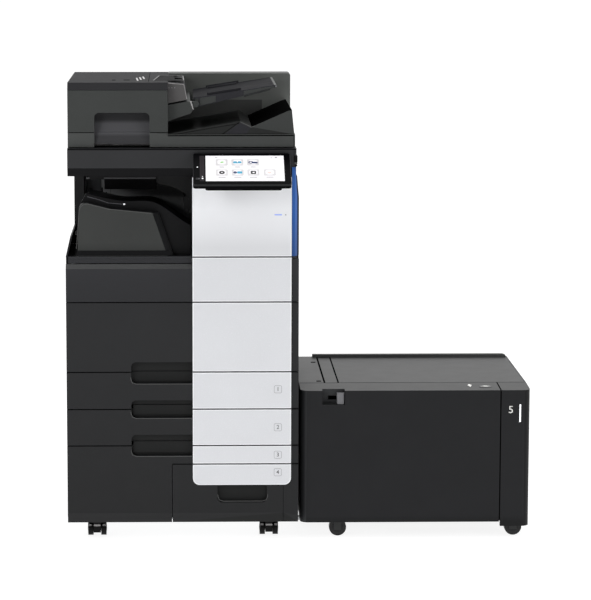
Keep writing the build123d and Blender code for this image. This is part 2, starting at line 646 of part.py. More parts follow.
def df_feeder():
    """Lower housing of the feeder: open box with roller bearings, hand recess and sheet entry."""
    x0, x1 = FEEDER_X
    rear = 525
    body = block((x0, x1), (FEEDER_FRONT, rear), FEEDER_Z)
    body -= block((x0 + COVER, x1 - COVER), (FEEDER_FRONT + COVER, rear - COVER), (FEEDER_Z[0] + COVER, 1202))
    body += block((-236, -79), (FEEDER_FRONT, 52), (FEEDER_Z[0], 1148))
    body -= handle_scoop()
    x, z = feeder_roller_axis()
    for y in (60, 440):
        body += block((x - 14, x + 14), (y, y + 5), (FEEDER_Z[0] + 1, z + 12))
    body -= rod_y(AXLE_RADIUS + RUNNING_GAP, (55, 450), x, z)
    nose = [(-40, 1160.4), (-37, 1161), (21, 1171), (29, 1148.9), (23.5, 1138.9), (-37, 1118.6), (-40, 1117.6)]
    body += along_y(nose, (40, 440))
    body += along_y([(15, 1150), (40, 1155), (46, 1163), (40, 1171), (18, 1169)], (46, 55))
    body += rod_y(4, (50, 66), 40, 1163)
    return body


def feed_rollers():
    x, z = feeder_roller_axis()
    rollers = rod_y(AXLE_RADIUS, (60, 445), x, z)
    for y in (120, 215, 250, 345):
        rollers += rod_y(15, (y, y + 30), x, z)
    return rollers


def feeder_cover():
    """Hinged top cover with a bevelled front edge and the nose that overhangs the sheet entry."""
    x0, x1 = FEEDER_X
    cover = block((x0, x1), (FEEDER_FRONT, 525), (FEEDER_Z[1] + 0.8, MACHINE_TOP))
    cover -= along_x([(13, 1201), (13, 1222), (24, 1222)], (x0 - 1, x1 + 1))
    cover -= block((x0 + COVER, x1 - COVER), (30, 521), (FEEDER_Z[1], MACHINE_TOP - COVER))
    nose = [(-42, 1219), (-36, 1219), (5.3, 1215.5), (13.2, 1175.2), (-36.6, 1165), (-36.6, 1202), (-42, 1202)]
    cover += along_y(nose, (40, 440))
    return cover - block((-20, 1), (180, 300), (1208, 1222))


def document_tray():
    """Sloping tray for originals, thick at its hinge and thin at its free end."""
    left_x, left_z = TRAY_LEFT
    right_x, right_z = TRAY_RIGHT
    outline = [(32, 1152.3), (left_x, left_z), (right_x, right_z), (right_x - 2, 1205.8), (162, 1184)]
    tray = along_y(outline, (60, 420))
    hollow = [(50, 1150), (50, 1178), (150, 1193.5), (160, 1181), (160, 1150)]
    tray -= along_y(hollow, (66, 408))
    return tray - rod_y(4 + RUNNING_GAP, (59, 67), 40, 1163) - rod_y(4 + RUNNING_GAP, (411, 421), 40, 1163)


def tray_height(x, above):
    """Height over the document tray's surface."""
    slope = (TRAY_RIGHT[1] - TRAY_LEFT[1]) / (TRAY_RIGHT[0] - TRAY_LEFT[0])
    return TRAY_LEFT[1] + slope * (x - TRAY_LEFT[0]) + above


def side_guide(fence_y, foot_y):
    """Paper guide: a foot on the tray and an upright fence."""
    def sheet(x0, x1, low, high, ys):
        outline = [(x0, tray_height(x0, low)), (x1, tray_height(x1, low)),
                   (x1, tray_height(x1, high)), (x0, tray_height(x0, high))]
        return along_y(outline, ys)
    return sheet(70, 150, 0.4, 3, foot_y) + sheet(66, 156, 0.4, 6, fence_y)


# ---------------------------------------------------------------- casters
def caster_fork(x, y):
    """Top plate and hub of a twin-wheel caster, with its axle."""
    axle_y = y + CASTER_TRAIL
    fork = rod_z(20, (40, 45.7), x, y)
    fork += block((x - 9.5, x + 9.5), (y - 10, axle_y + 9), (11, 40.5))
    return fork + rod_x(AXLE_RADIUS, (x - 24.5, x + 24.5), axle_y, CASTER_RADIUS)


def caster_wheels(x, y):
    """Twin wheels on one axle."""
    axle_y = y + CASTER_TRAIL
    wheels = []
    for side in ((x - 24.5, x - 10.5), (x + 10.5, x + 24.5)):
        wheel = rod_x(CASTER_RADIUS, side, axle_y, CASTER_RADIUS)
        wheel -= rod_x(AXLE_RADIUS + RUNNING_GAP, (x - 30, x + 30), axle_y, CASTER_RADIUS)
        wheels.append(wheel)
    return [solid for wheel in wheels for solid in wheel.solids()]


# ---------------------------------------------------------------- side paper unit
def unit_corner_prism(xs, bottom, rounded_x, radius, inset=0.0):
    """Front portion of the side unit: sloping top strip and one rounded upright corner."""
    front = SIDE_UNIT_Y[0] + inset
    rear = SIDE_UNIT_CREASE + (1 if inset else 0)
    top_rear = SIDE_UNIT_TOP - inset
    outline = [(front, bottom), (front, SIDE_UNIT_LIP - inset), (rear, top_rear), (rear, bottom)]
    solid = along_x(outline, xs)
    return fillet(upright_edges_at(solid, rounded_x, front), radius)


def lu_front():
    """Front cover of the side unit with the recess of the docking lever and the lift key's hole."""
    x0, x1 = SIDE_UNIT_X[0], COLUMN_X - 3
    cover = unit_corner_prism((x0, x1), SIDE_UNIT_BOTTOM, x0, 22)
    cover -= unit_corner_prism((x0 + COVER, x1 - COVER), SIDE_UNIT_BOTTOM - 1, x0 + COVER, 18, COVER)
    cover += block((367, 437), (22, 48), (358, 398.5))
    cover -= block((372, 432), (19, 44), (363, 403))
    cover -= block((388, 432), (43, 49), (373, 384))
    return cover - block((794.5, 828.5), (59, 77), (390, 406))


def lu_column():
    """Right front corner cover of the side unit, reaching lower than the rest."""
    x1 = SIDE_UNIT_X[1]
    column = unit_corner_prism((COLUMN_X, x1), 31, x1, 21)
    column -= unit_corner_prism((COLUMN_X + COVER, x1 - COVER), 30, x1 - COVER, 17, COVER)
    return column - block((COLUMN_X - 1, COLUMN_X + COVER + 1), (30, SIDE_UNIT_CREASE + 1), (30, 50))


def lu_shell():
    """Body of the side unit: floor, walls, paper bay walls, top frame and wheel brackets."""
    x0, x1 = SIDE_UNIT_X
    rear = SIDE_UNIT_Y[1]
    start = SIDE_UNIT_CREASE + 0.8
    top = (SIDE_UNIT_TOP - 8, SIDE_UNIT_TOP)
    shell = block((x0, x1), (start, rear), (48, 53))
    shell += block((334, 842), (34, start), (48, 53)) + block((857, 910), (34, start), (48, 53))
    shell += block((x0, x0 + COVER), (start, rear), (53, top[0]))
    shell += block((x0, x1), (rear - COVER, rear), (53, top[0]))
    shell += block((x1 - COVER, x1), (start, rear), (53, top[0]))
    shell += block((x0, x1), (start, rear), top)
    shell -= block((LID_X[0] - 1.5, LID_X[1] + 1), (start - 1, 548), (top[0] - 1, top[1] + 1))
    shell += block((418, 420), (start, rear), (53, top[1]))
    shell += block((762, 765), (start, rear), (53, 388)) + block((762, x1 - 3), (start, rear), (385, 388))
    lip = [(370, 404), (370, 413), (x1 - 13, 413), (x1 - 6, 411), (x1 - 3, 406), (x1 - 3, 404)]
    shell += along_y(lip, (549, rear))
    shell -= block((382, 384), (start - 1, 549), (top[1] - 2.5, top[1] + 1))
    for y in (140, 455):
        shell -= block((362, 375), (y, y + 17), (top[0] - 1, top[1] + 1))
    brackets = []
    for x in SIDE_WHEEL_X:
        for y in SIDE_WHEEL_Y:
            bracket = rod_y(4, (y - 14, y + 14), x, SIDE_WHEEL_RADIUS)
            for side in (y - 14.5, y + 11.5):
                bracket += block((x - 10, x + 10), (side, side + 3), (16, 48))
            brackets.append(bracket)
    return Compound([shell] + brackets)


def lu_lid():
    """Loading lid with a stiffening frame underneath."""
    x0, x1 = LID_X
    lid = block((x0, x1), (SIDE_UNIT_CREASE + 1.2, 546.5), (SIDE_UNIT_TOP - 5, SIDE_UNIT_TOP))
    frame = block((x0 + 6, x1 - 6), (132, 532), (SIDE_UNIT_TOP - 12, SIDE_UNIT_TOP - 5))
    return lid + frame - block((x0 + 9, x1 - 9), (135, 529), (SIDE_UNIT_TOP - 13, SIDE_UNIT_TOP - 5))


def lu_lift_plate():
    """Plate that raises the paper stack, with turned-down edges and a sensor hole."""
    plate = block((424, 758), (132, 540), (84, 87))
    plate += block((424, 758), (132, 135), (76, 84)) + block((424, 758), (537, 540), (76, 84))
    return plate - rod_z(14, (70, 90), 590, 330)


def lu_lever():
    """Docking lever: grip in the recess and the stem that passes through its rear wall."""
    lever = block((411, 431), (24, 42), (364, 393))
    lever = chamfer([e for e in lever.edges().filter_by(Axis.Z) if e.center().Y < 25], 2)
    return lever + block((416, 426), (42, 56), (375, 382))


def lu_button():
    """Key that lowers the stack for loading."""
    key = block((795, 828), (59.5, 76.5), (396, 403.7))
    return fillet(key.edges().filter_by(Axis.Z), 7)


def side_wheels(x):
    """Front and rear wheels on one side of the unit; they share one axis."""
    wheels = []
    for y in SIDE_WHEEL_Y:
        half = SIDE_WHEEL_WIDTH / 2
        wheel = rod_y(SIDE_WHEEL_RADIUS, (y - half, y + half), x, SIDE_WHEEL_RADIUS)
        wheels.append(wheel - rod_y(4 + RUNNING_GAP, (y - 20, y + 20), x, SIDE_WHEEL_RADIUS))
    return Compound([solid for wheel in wheels for solid in wheel.solids()])


# ---------------------------------------------------------------- nodes
def all_nodes():
    nodes = dict(pale_column())
    makers = (main_frame, left_cover, right_cover, rear_cover, upper_casing, blue_accent, inner_tray, exit_unit,
              exit_rollers, laser_unit, drum_units, transfer_belt_unit, toner_bottles, fuser_unit, power_supply,
              power_inlet, right_door, bypass_tray, scanner_housing, platen_glass, scanner_carriage,
              control_panel, touch_screen, power_key, df_base, platen_pad, df_feeder, feed_rollers,
              feeder_cover, document_tray, upper_door, lower_door, tray_1, tray_2, tray_3, tray_4,
              lu_front, lu_column, lu_shell, lu_lid, lu_lift_plate, lu_lever, lu_button)
    for maker in makers:
        nodes[maker.__name__] = maker()
    nodes["front_guide"] = side_guide((78, 82), (82, 130))
    nodes["rear_guide"] = side_guide((398, 402), (350, 398))
    front_y, rear_y = CASTER_Y
    for name, x in (("left", -CASTER_X), ("right", CASTER_X)):
        nodes[f"{name}_caster_fork"] = caster_fork(x, front_y)
        nodes[f"{name}_caster_wheels"] = Compound(caster_wheels(x, front_y))
    forks = [caster_fork(x, rear_y) for x in (-CASTER_X, CASTER_X)]
    nodes["rear_caster_forks"] = Compound([s for fork in forks for s in fork.solids()])
    rear_wheels = caster_wheels(-CASTER_X, rear_y) + caster_wheels(CASTER_X, rear_y)
    nodes["rear_caster_wheels"] = Compound(rear_wheels)
    nodes["lu_left_wheels"] = side_wheels(SIDE_WHEEL_X[0])
    nodes["lu_right_wheels"] = side_wheels(SIDE_WHEEL_X[1])
    return nodes


os.makedirs("parts", exist_ok=True)
for name, shape in all_nodes().items():
    placed = Pos(-ORIGIN[0], -ORIGIN[1], -ORIGIN[2]) * shape
    export_step(placed, f"parts/{name}.step")
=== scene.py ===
"""Photocopier with a docked side paper unit: materials, surface details, light and camera."""
import math

import bpy
import bmesh
from mathutils import Euler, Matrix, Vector


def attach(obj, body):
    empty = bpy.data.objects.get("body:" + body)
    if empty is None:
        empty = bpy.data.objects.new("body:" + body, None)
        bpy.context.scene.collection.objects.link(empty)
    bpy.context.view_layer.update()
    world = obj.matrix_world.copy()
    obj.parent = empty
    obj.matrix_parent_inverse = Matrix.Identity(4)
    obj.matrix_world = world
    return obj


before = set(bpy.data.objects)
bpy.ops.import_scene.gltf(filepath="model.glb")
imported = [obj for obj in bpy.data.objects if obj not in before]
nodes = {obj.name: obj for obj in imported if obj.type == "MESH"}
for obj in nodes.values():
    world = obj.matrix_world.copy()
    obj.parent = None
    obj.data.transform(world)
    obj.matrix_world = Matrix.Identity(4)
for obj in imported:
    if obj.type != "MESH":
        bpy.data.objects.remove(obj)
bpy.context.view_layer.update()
scene = bpy.context.scene

# All lengths below are in millimetres: X from the middle of the main cabinet, Y back from its doors, Z up.
ORIGIN = Vector((310.25, 213.98, 0.0))

PANEL_CENTRE = (155.0, -73.0, 1003.0)
PANEL_TILT = math.radians(28.5)

# Faces that details sit on.
COVER_X = 307.5
REAR_Y = 555.0
PALE_Y = -4.0
FEEDER_TOP_Z = 1221.0
BAY_WALL_Y = 334.2
SIDE_TOP_Z = 405.0
SIDE_FRONT_Y = 20.0
SIDE_RIGHT_X = 928
SIDE_REAR_Y = 566

# The side unit's front strip rises from its front edge to the flat top.
STRIP_FRONT_Z = 401
STRIP_REAR_Y = 121

# Places of repeated parts.
TONERS_X = (("yellow", -215), ("magenta", -125), ("cyan", -35), ("black", 55))
TONER_Z = 693
NUMBER_X = 252.5
CASTER_X = 231
CASTER_WHEELS_X = ((206.5, -1), (255.5, 1))
FRONT_CASTER_Y = 74
REAR_CASTER_Y = 509
CASTER_WHEEL_Z = 19
SIDE_WHEELS_X = (("left", 416), ("right", 889))
SIDE_WHEEL_Z = 23
CONNECTOR_X = 180
CONNECTOR_Z = 380
HANDLE_Y = 250
HANDLE_Z = 172
LATCH_Y = 265
LATCH_Z = 900


def at(x, y, z):
    """Scene position in metres of a point in mm."""
    return (Vector((x, y, z)) - ORIGIN) / 1000


# ---------------------------------------------------------------- materials
def new_material(name):
    mat = bpy.data.materials.new(name)
    mat.use_nodes = True
    tree = mat.node_tree
    return mat, tree, tree.nodes["Principled BSDF"]


def noise(tree, scale, detail=3.0, rough=0.55, stretch=None):
    """Noise fixed to the object's own coordinates."""
    coords = tree.nodes.new("ShaderNodeTexCoord")
    tex = tree.nodes.new("ShaderNodeTexNoise")
    tex.inputs["Scale"].default_value = scale
    tex.inputs["Detail"].default_value = detail
    tex.inputs["Roughness"].default_value = rough
    if stretch:
        mapping = tree.nodes.new("ShaderNodeMapping")
        mapping.inputs["Scale"].default_value = stretch
        tree.links.new(coords.outputs["Object"], mapping.inputs["Vector"])
        tree.links.new(mapping.outputs["Vector"], tex.inputs["Vector"])
    else:
        tree.links.new(coords.outputs["Object"], tex.inputs["Vector"])
    return tex.outputs["Fac"]


def spread(tree, value, low, high, start=0.3, end=0.7):
    """Maps a value from start..end to low..high."""
    node = tree.nodes.new("ShaderNodeMapRange")
    node.inputs["From Min"].default_value = start
    node.inputs["From Max"].default_value = end
    node.inputs["To Min"].default_value = low
    node.inputs["To Max"].default_value = high
    tree.links.new(value, node.inputs["Value"])
    return node.outputs["Result"]


def mix(tree, factor, first, second):
    node = tree.nodes.new("ShaderNodeMix")
    node.data_type = "RGBA"
    tree.links.new(factor, node.inputs["Factor"])
    for socket, value in ((node.inputs["A"], first), (node.inputs["B"], second)):
        if isinstance(value, tuple):
            socket.default_value = (*value, 1)
        else:
            tree.links.new(value, socket)
    return node.outputs["Result"]


def shade(colour, factor):
    return tuple(min(1.0, c * factor) for c in colour)


def edge_highlight_mask(tree, radius):
    """1 where a surface turns over an edge, 0 on flat faces."""
    bevel = tree.nodes.new("ShaderNodeBevel")
    bevel.samples = 6
    bevel.inputs["Radius"].default_value = radius
    geometry = tree.nodes.new("ShaderNodeNewGeometry")
    dot = tree.nodes.new("ShaderNodeVectorMath")
    dot.operation = "DOT_PRODUCT"
    tree.links.new(bevel.outputs["Normal"], dot.inputs[0])
    tree.links.new(geometry.outputs["Normal"], dot.inputs[1])
    return spread(tree, dot.outputs["Value"], 1.0, 0.0, 0.8, 0.995)


def height(tree, low, high):
    """0 below the lower height in mm, 1 above the upper one."""
    coords = tree.nodes.new("ShaderNodeTexCoord")
    split = tree.nodes.new("ShaderNodeSeparateXYZ")
    tree.links.new(coords.outputs["Object"], split.inputs["Vector"])
    return spread(tree, split.outputs["Z"], 0.0, 1.0, low / 1000, high / 1000)


def moulded(name, colour, rough=0.5, grain=900.0, relief=0.25, tint=0.07, edge=1.5, edge_radius=0.0016,
            specular=0.5, height_shading=(), gloss=0.035):
    """Moulded plastic: fine spark-eroded grain, faint mottling, uneven gloss and edges lightened as a painted
    highlight.

    Each height_shading entry is (low, high, factor) and paints light or shade by height: the colour is
    multiplied by factor below low and is full above high."""
    mat, tree, shader = new_material(name)
    mottle = spread(tree, noise(tree, 7.0, 4.0), 0.0, 1.0)
    base = mix(tree, mottle, shade(colour, 1 - tint), shade(colour, 1 + tint))
    speck = spread(tree, noise(tree, grain * 0.6, 2.0), 0.0, 0.35, 0.55, 0.75)
    base = mix(tree, speck, base, shade(colour, 1.25))
    # Painted light and shade by height.
    for low, high, factor in height_shading:
        base = mix(tree, height(tree, low, high), shade(colour, factor), base)
    # Painted highlight: rounded edges are lightened by the factor edge.
    if edge > 1:
        base = mix(tree, edge_highlight_mask(tree, edge_radius), base, shade(colour, edge))
    tree.links.new(base, shader.inputs["Base Color"])
    sheen = spread(tree, noise(tree, 24.0, 5.0), rough - gloss, rough + gloss)
    tree.links.new(sheen, shader.inputs["Roughness"])
    shader.inputs["Specular IOR Level"].default_value = specular
    bump = tree.nodes.new("ShaderNodeBump")
    bump.inputs["Strength"].default_value = relief
    bump.inputs["Distance"].default_value = 0.0002
    tree.links.new(noise(tree, grain, 2.0), bump.inputs["Height"])
    if edge > 1:
        rounding = tree.nodes.new("ShaderNodeBevel")
        rounding.samples = 4
        rounding.inputs["Radius"].default_value = 0.0008
        tree.links.new(rounding.outputs["Normal"], bump.inputs["Normal"])
    tree.links.new(bump.outputs["Normal"], shader.inputs["Normal"])
    return mat


def metal(name, colour, rough=0.35, stretch=(1, 1, 40), metallic=1.0):
    """Rolled or machined metal with drawn-out scratches."""
    mat, tree, shader = new_material(name)
    streak = noise(tree, 60.0, 5.0, 0.6, stretch)
    tree.links.new(mix(tree, spread(tree, streak, 0, 1), shade(colour, 0.86), shade(colour, 1.1)),
                   shader.inputs["Base Color"])
    tree.links.new(spread(tree, streak, rough - 0.08, rough + 0.12), shader.inputs["Roughness"])
    shader.inputs["Metallic"].default_value = metallic
    bump = tree.nodes.new("ShaderNodeBump")
    bump.inputs["Strength"].default_value = 0.12
    bump.inputs["Distance"].default_value = 0.0001
    tree.links.new(streak, bump.inputs["Height"])
    tree.links.new(bump.outputs["Normal"], shader.inputs["Normal"])
    return mat


def lit(name, colour, strength=0.6, rough=0.35):
    """Backlit or printed surface with a faint cell pattern."""
    mat, tree, shader = new_material(name)
    cell = spread(tree, noise(tree, 500.0, 2.0), 0.0, 1.0)
    tone = mix(tree, cell, shade(colour, 0.96), shade(colour, 1.03))
    tree.links.new(tone, shader.inputs["Base Color"])
    tree.links.new(tone, shader.inputs["Emission Color"])
    shader.inputs["Emission Strength"].default_value = strength
    tree.links.new(spread(tree, noise(tree, 30.0), rough - 0.05, rough + 0.08), shader.inputs["Roughness"])
    return mat


# Painted shade: the dark plastic gets darker towards the floor, darkest in the lowest 62 mm.
DARK = moulded("dark_grey_plastic", (0.0146, 0.0150, 0.0164), 0.5, specular=0.28,
               height_shading=((80, 560, 0.68), (62, 82, 0.6)))
# Painted shade for surfaces deep in the output bay.
BAY_SHADE = moulded("bay_painted_shade", (0.0080, 0.0083, 0.0090), 0.5, specular=0.25)
# Painted light: the output bay's back wall is made far lighter than the dark plastic it is.
BAY_BACK_LIT = moulded("bay_wall_painted_light", (0.205, 0.209, 0.213), 0.55, specular=0.25)
# Painted shade: the inner cover darkens towards its foot.
COVER_FRONT = moulded("inner_cover_plastic", (0.0360, 0.0380, 0.0365), 0.5, specular=0.25,
                      height_shading=((765, 800, 0.55),))
DEEP_SHADE = moulded("deep_shade_plastic", (0.0048, 0.0048, 0.0055), 0.55, specular=0.09, edge=1.0)
# Painted shade on the inner tray's fence face in the bay.
FENCE_SHADE = moulded("inner_tray_fence_painted_shade", (0.0055, 0.0056, 0.0062), 0.5, specular=0.14)
# Painted highlight on the upward chamfer along the upper door's top edge.
DOOR_EDGE_HIGHLIGHT = moulded("door_edge_painted_highlight", (0.056, 0.057, 0.058), 0.5, specular=0.28)
# Painted shade for recesses, slots and lines under overhangs.
UNDERCUT_SHADE = moulded("undercut_painted_shade", (0.0035, 0.0035, 0.0040), 0.6, specular=0.03, edge=1.0)
# Painted light and shade on the scoop: dark in shadow at its top, a painted highlight band in the middle, mid
# grey at the bottom.
SCOOP_SHADED = moulded("scoop_painted_light_and_shade", (0.025, 0.025, 0.027), 0.5, specular=0.25, edge=1.0,
                height_shading=((1112, 1122, 3.2), (1080, 1088, 1.6)))
# Painted shade in the finger recesses.
PULL_SHADE = moulded("finger_recess_painted_shade", (0.0085, 0.0090, 0.0090), 0.5, specular=0.22, edge=1.0)
CASTER = moulded("caster_black_plastic", (0.0040, 0.0040, 0.0042), 0.5, specular=0.15, edge=1.5)
LIP = moulded("side_lip_plastic", (0.085, 0.087, 0.085), 0.45, specular=0.3)
RECESS = moulded("lever_recess_plastic", (0.034, 0.035, 0.037), 0.5, edge=1.0, specular=0.2)
# Painted light: the feeder's rear wall is made lighter than the feeder plastic, lighter still low down.
WALL_LIT = moulded("feeder_wall_painted_light", (0.096, 0.101, 0.096), 0.55, specular=0.3, height_shading=((1150, 1200, 1.7),))
WALL_LOW = moulded("feeder_wall_shade_plastic", (0.077, 0.079, 0.077), 0.55, specular=0.25)
# Painted shade under the document tray on the output ramp.
RAMP_SHADE = moulded("feeder_ramp_painted_shade", (0.0165, 0.0175, 0.0170), 0.5, specular=0.2)
# Painted shade: the upper door gets darker towards its bottom.
UPPER_DOOR = moulded("upper_door_plastic", (0.0215, 0.0220, 0.0250), 0.5, specular=0.28,
                     height_shading=((640, 735, 0.80),))
# Painted shade: the feeder cover's top is a darker copy of its plastic.
COVER_TOP_SHADE = moulded("feeder_top_painted_shade", (0.0145, 0.0145, 0.0158), 0.55, specular=0.03, gloss=0.02)
# Painted light: the lid's lower front band is lightened against the control panel's shadow.
LID_BAND_LIT = moulded("lid_band_painted_light", (0.053, 0.0565, 0.0545), 0.5, specular=0.3)
SCANNER = moulded("scanner_grey_plastic", (0.0225, 0.0230, 0.0250), 0.5, specular=0.28)
# Painted shade: the document tray's top is a darker copy of its plastic.
TRAY_TOP_SHADE = moulded("document_tray_top_painted_shade", (0.0088, 0.0088, 0.0106), 0.55, specular=0.01)
NOSE = moulded("feeder_nose_plastic", (0.080, 0.077, 0.077), 0.5, tint=0.12, specular=0.3)
# Light grey for painted highlights along edges and rims, also used on small light parts.
HIGHLIGHT_GREY = moulded("light_grey_and_painted_highlight", (0.085, 0.086, 0.085), 0.4, edge=1.0)
# Painted shade on the left part of the bay's back wall.
BAY_WALL_SHADE = moulded("bay_wall_painted_shade", (0.034, 0.035, 0.038), 0.55, edge=1.0, specular=0.2)
# Bright grey for painted glints on the feeder and caster hoods, also for a printed pictogram.
BRIGHT_PRINT_AND_HIGHLIGHT = moulded("bright_print_and_painted_highlight", (0.33, 0.32, 0.32), 0.3, edge=1.0)
FEEDER = moulded("feeder_grey_plastic", (0.036, 0.039, 0.0375), 0.5, specular=0.3)
FEEDER_TOP = moulded("feeder_cover_plastic", (0.020, 0.020, 0.022), 0.5, specular=0.2)
TRAY = moulded("document_tray_plastic", (0.030, 0.030, 0.034), 0.5, specular=0.04)
PALE = moulded("pale_plastic", (0.72, 0.73, 0.757), 0.42, tint=0.015, edge=1.25, edge_radius=0.0018)
# Painted light: the pale front under the control panel is lightened at its top against the panel's shadow and
# darkens below.
TOWER_LIT = moulded("pale_tower_painted_light", (0.925, 0.935, 0.965), 0.42, tint=0.015, edge=1.0, edge_radius=0.0018,
                height_shading=((790, 890, 0.765),))
# Painted shade: the blue accent darkens towards its bottom.
BLUE = moulded("blue_plastic", (0.009, 0.095, 0.38), 0.36, tint=0.05, edge=1.3, height_shading=((775, 880, 0.62),))
BLACK = moulded("black_plastic", (0.0070, 0.0070, 0.0080), 0.42, edge=2.0, specular=0.3)
GLOSS_BLACK = moulded("gloss_black_plastic", (0.0009, 0.0009, 0.0014), 0.22, relief=0.03, edge=1.6,
                      specular=0.03)
PANEL_EDGE = moulded("panel_edge_plastic", (0.013, 0.013, 0.0145), 0.4, specular=0.15)
SIDE_TOP = moulded("side_unit_plastic", (0.0122, 0.0130, 0.0131), 0.45, tint=0.02, specular=0.44,
                   gloss=0.012)
# Painted shade: the side unit's front darkens towards the floor.
SIDE_FRONT = moulded("side_front_plastic", (0.0102, 0.0105, 0.0120), 0.5, specular=0.22,
                     height_shading=((44, 60, 0.5),))
# Painted light: the side unit's left corner is lightened where the cabinet shades it.
SIDE_CORNER_LIT = moulded("side_left_corner_painted_light", (0.026, 0.027, 0.029), 0.5, edge=1.0, specular=0.2)
# Painted shade on the side unit's faces that turn sideways.
SIDE_TURN_SHADE = moulded("side_corner_painted_shade", (0.0062, 0.0064, 0.0072), 0.5, specular=0.18)
KEY = moulded("key_plastic", (0.085, 0.086, 0.09), 0.38)
LEVER = moulded("lever_plastic", (0.15, 0.15, 0.16), 0.45)
STRIP = moulded("screen_side_strip", (0.020, 0.017, 0.019), 0.3, relief=0.05, edge=1.0, specular=0.05)
GAP = moulded("gap_shadow_plastic", (0.0025, 0.0025, 0.0025), 0.8, edge=1.0, specular=0.0)
WHITE_PAD = moulded("white_backing_foam", (0.72, 0.72, 0.70), 0.85, grain=400, relief=0.6, edge=1.0)
RUBBER = moulded("roller_rubber", (0.030, 0.030, 0.031), 0.75, grain=1300, relief=0.5, edge=1.3)
TYRE = moulded("wheel_plastic", (0.0085, 0.0085, 0.0087), 0.4, edge=1.8, specular=0.35)
PRINT = moulded("printed_grey", (0.30, 0.30, 0.32), 0.5, edge=1.0)
PRINT_DARK = moulded("printed_dark_grey", (0.10, 0.10, 0.11), 0.5, edge=1.0)
PRINT_WHITE = moulded("printed_white", (0.75, 0.75, 0.72), 0.5, edge=1.0)
# Painted highlight on the edges of the pale panels.
PALE_EDGE_HIGHLIGHT = moulded("pale_edge_painted_highlight", (0.93, 0.94, 0.96), 0.4, tint=0.01, edge=1.0)
STEEL = metal("galvanised_steel", (0.42, 0.43, 0.44), 0.42, (1, 1, 6))
SCREW = metal("zinc_screw", (0.50, 0.50, 0.50), 0.3, (6, 6, 6))
COPPER = metal("brass_contact", (0.55, 0.38, 0.16), 0.3)
LED_BLUE = lit("blue_indicator", (0.05, 0.13, 0.62), 0.7)
LED_WHITE = lit("white_indicator", (0.85, 0.86, 0.88), 0.7)
SCREEN = lit("screen_white", (0.60, 0.59, 0.61), 0.45)
TILE = lit("screen_tile_grey", (0.47, 0.46, 0.47), 0.32)
UI_WHITE = lit("screen_icon_white", (0.60, 0.59, 0.61), 0.45)
UI_GREY = lit("screen_caption_grey", (0.22, 0.21, 0.22), 0.2)
UI_BLACK = lit("screen_icon_black", (0.010, 0.010, 0.011), 0.02)
UI_CYAN = lit("screen_icon_cyan", (0.02, 0.27, 0.42), 0.25)
UI_NAVY = lit("screen_icon_navy", (0.006, 0.02, 0.10), 0.02)
UI_GREEN = lit("screen_icon_green", (0.18, 0.48, 0.12), 0.2)
UI_ORANGE = lit("screen_icon_orange", (0.55, 0.28, 0.18), 0.2)
GLASS, glass_tree, glass_shader = new_material("exposure_glass")
glass_shader.inputs["Base Color"].default_value = (0.70, 0.78, 0.76, 1)
glass_shader.inputs["Transmission Weight"].default_value = 1.0
glass_shader.inputs["IOR"].default_value = 1.5
glass_tree.links.new(spread(glass_tree, noise(glass_tree, 12.0, 6.0), 0.01, 0.09, 0.45, 0.8),
                     glass_shader.inputs["Roughness"])
TONERS = {name: moulded("toner_" + name, colour, 0.4) for name, colour in
          (("yellow", (0.62, 0.50, 0.04)), ("magenta", (0.45, 0.02, 0.16)),
           ("cyan", (0.02, 0.25, 0.48)), ("black", (0.012, 0.012, 0.013)))}

FINISH = {
    DARK: "left_cover right_cover rear_cover upper_casing inner_tray lower_door tray_1 tray_2 tray_3 tray_4 "
          "right_door bypass_tray",
    UPPER_DOOR: "upper_door",
    SCANNER: "scanner_housing",
    SIDE_TOP: "lu_front lu_column lu_shell lu_lid",
    FEEDER: "df_base df_feeder",
    FEEDER_TOP: "feeder_cover",
    TRAY: "document_tray front_guide rear_guide",
    TOWER_LIT: "tower_front",
    PALE: "upper_door_panel lower_door_panel tray_1_panel tray_2_panel tray_3_panel tray_4_panel",
    BLUE: "blue_accent",
    GLOSS_BLACK: "control_panel",
    SCREEN: "touch_screen",
    PANEL_EDGE: "power_key",
    BLACK: "exit_unit drum_units power_inlet scanner_carriage laser_unit transfer_belt_unit toner_bottles",
    CASTER: "left_caster_fork right_caster_fork rear_caster_forks left_caster_wheels right_caster_wheels "
            "rear_caster_wheels",
    KEY: "lu_button",
    LEVER: "lu_lever",
    GLASS: "platen_glass",
    STEEL: "main_frame fuser_unit power_supply lu_lift_plate",
    RUBBER: "exit_rollers feed_rollers",
    TYRE: "lu_left_wheels lu_right_wheels",
    WHITE_PAD: "platen_pad",
}
for finish, names in FINISH.items():
    for name in names.split():
        nodes[name].data.materials.clear()
        nodes[name].data.materials.append(finish)


def paint(node, finish, test):
    """Gives the CAD faces that pass the test on (centre in mm, normal) a finish of their own."""
    mesh = nodes[node].data
    mesh.materials.append(finish)
    for face in mesh.polygons:
        if test(Vector(face.center) * 1000 + ORIGIN, face.normal):
            face.material_index = len(mesh.materials) - 1


def in_scoop(centre, normal):
    return -230.5 < centre.x < -84.5 and 14.5 < centre.y < 48 and abs(normal.x) < 0.2 and normal.y < -0.3


# Painted shade on the feeder cover's top.
paint("feeder_cover", COVER_TOP_SHADE, lambda c, n: n.z > 0.95 and c.z > 1214)
paint("feeder_cover", NOSE, lambda c, n: n.y < -0.9 and 39 < c.y < 41 and c.x > -43)
# Painted shade inside the release recess.
paint("feeder_cover", UNDERCUT_SHADE,
      lambda c, n: -20.5 < c.x < 1.5 and 179 < c.y < 301 and n.z < 0.5 and c.z > 1207)
paint("scanner_housing", DEEP_SHADE, lambda c, n: n.z < -0.1 and n.y < -0.05 and c.y < 60)
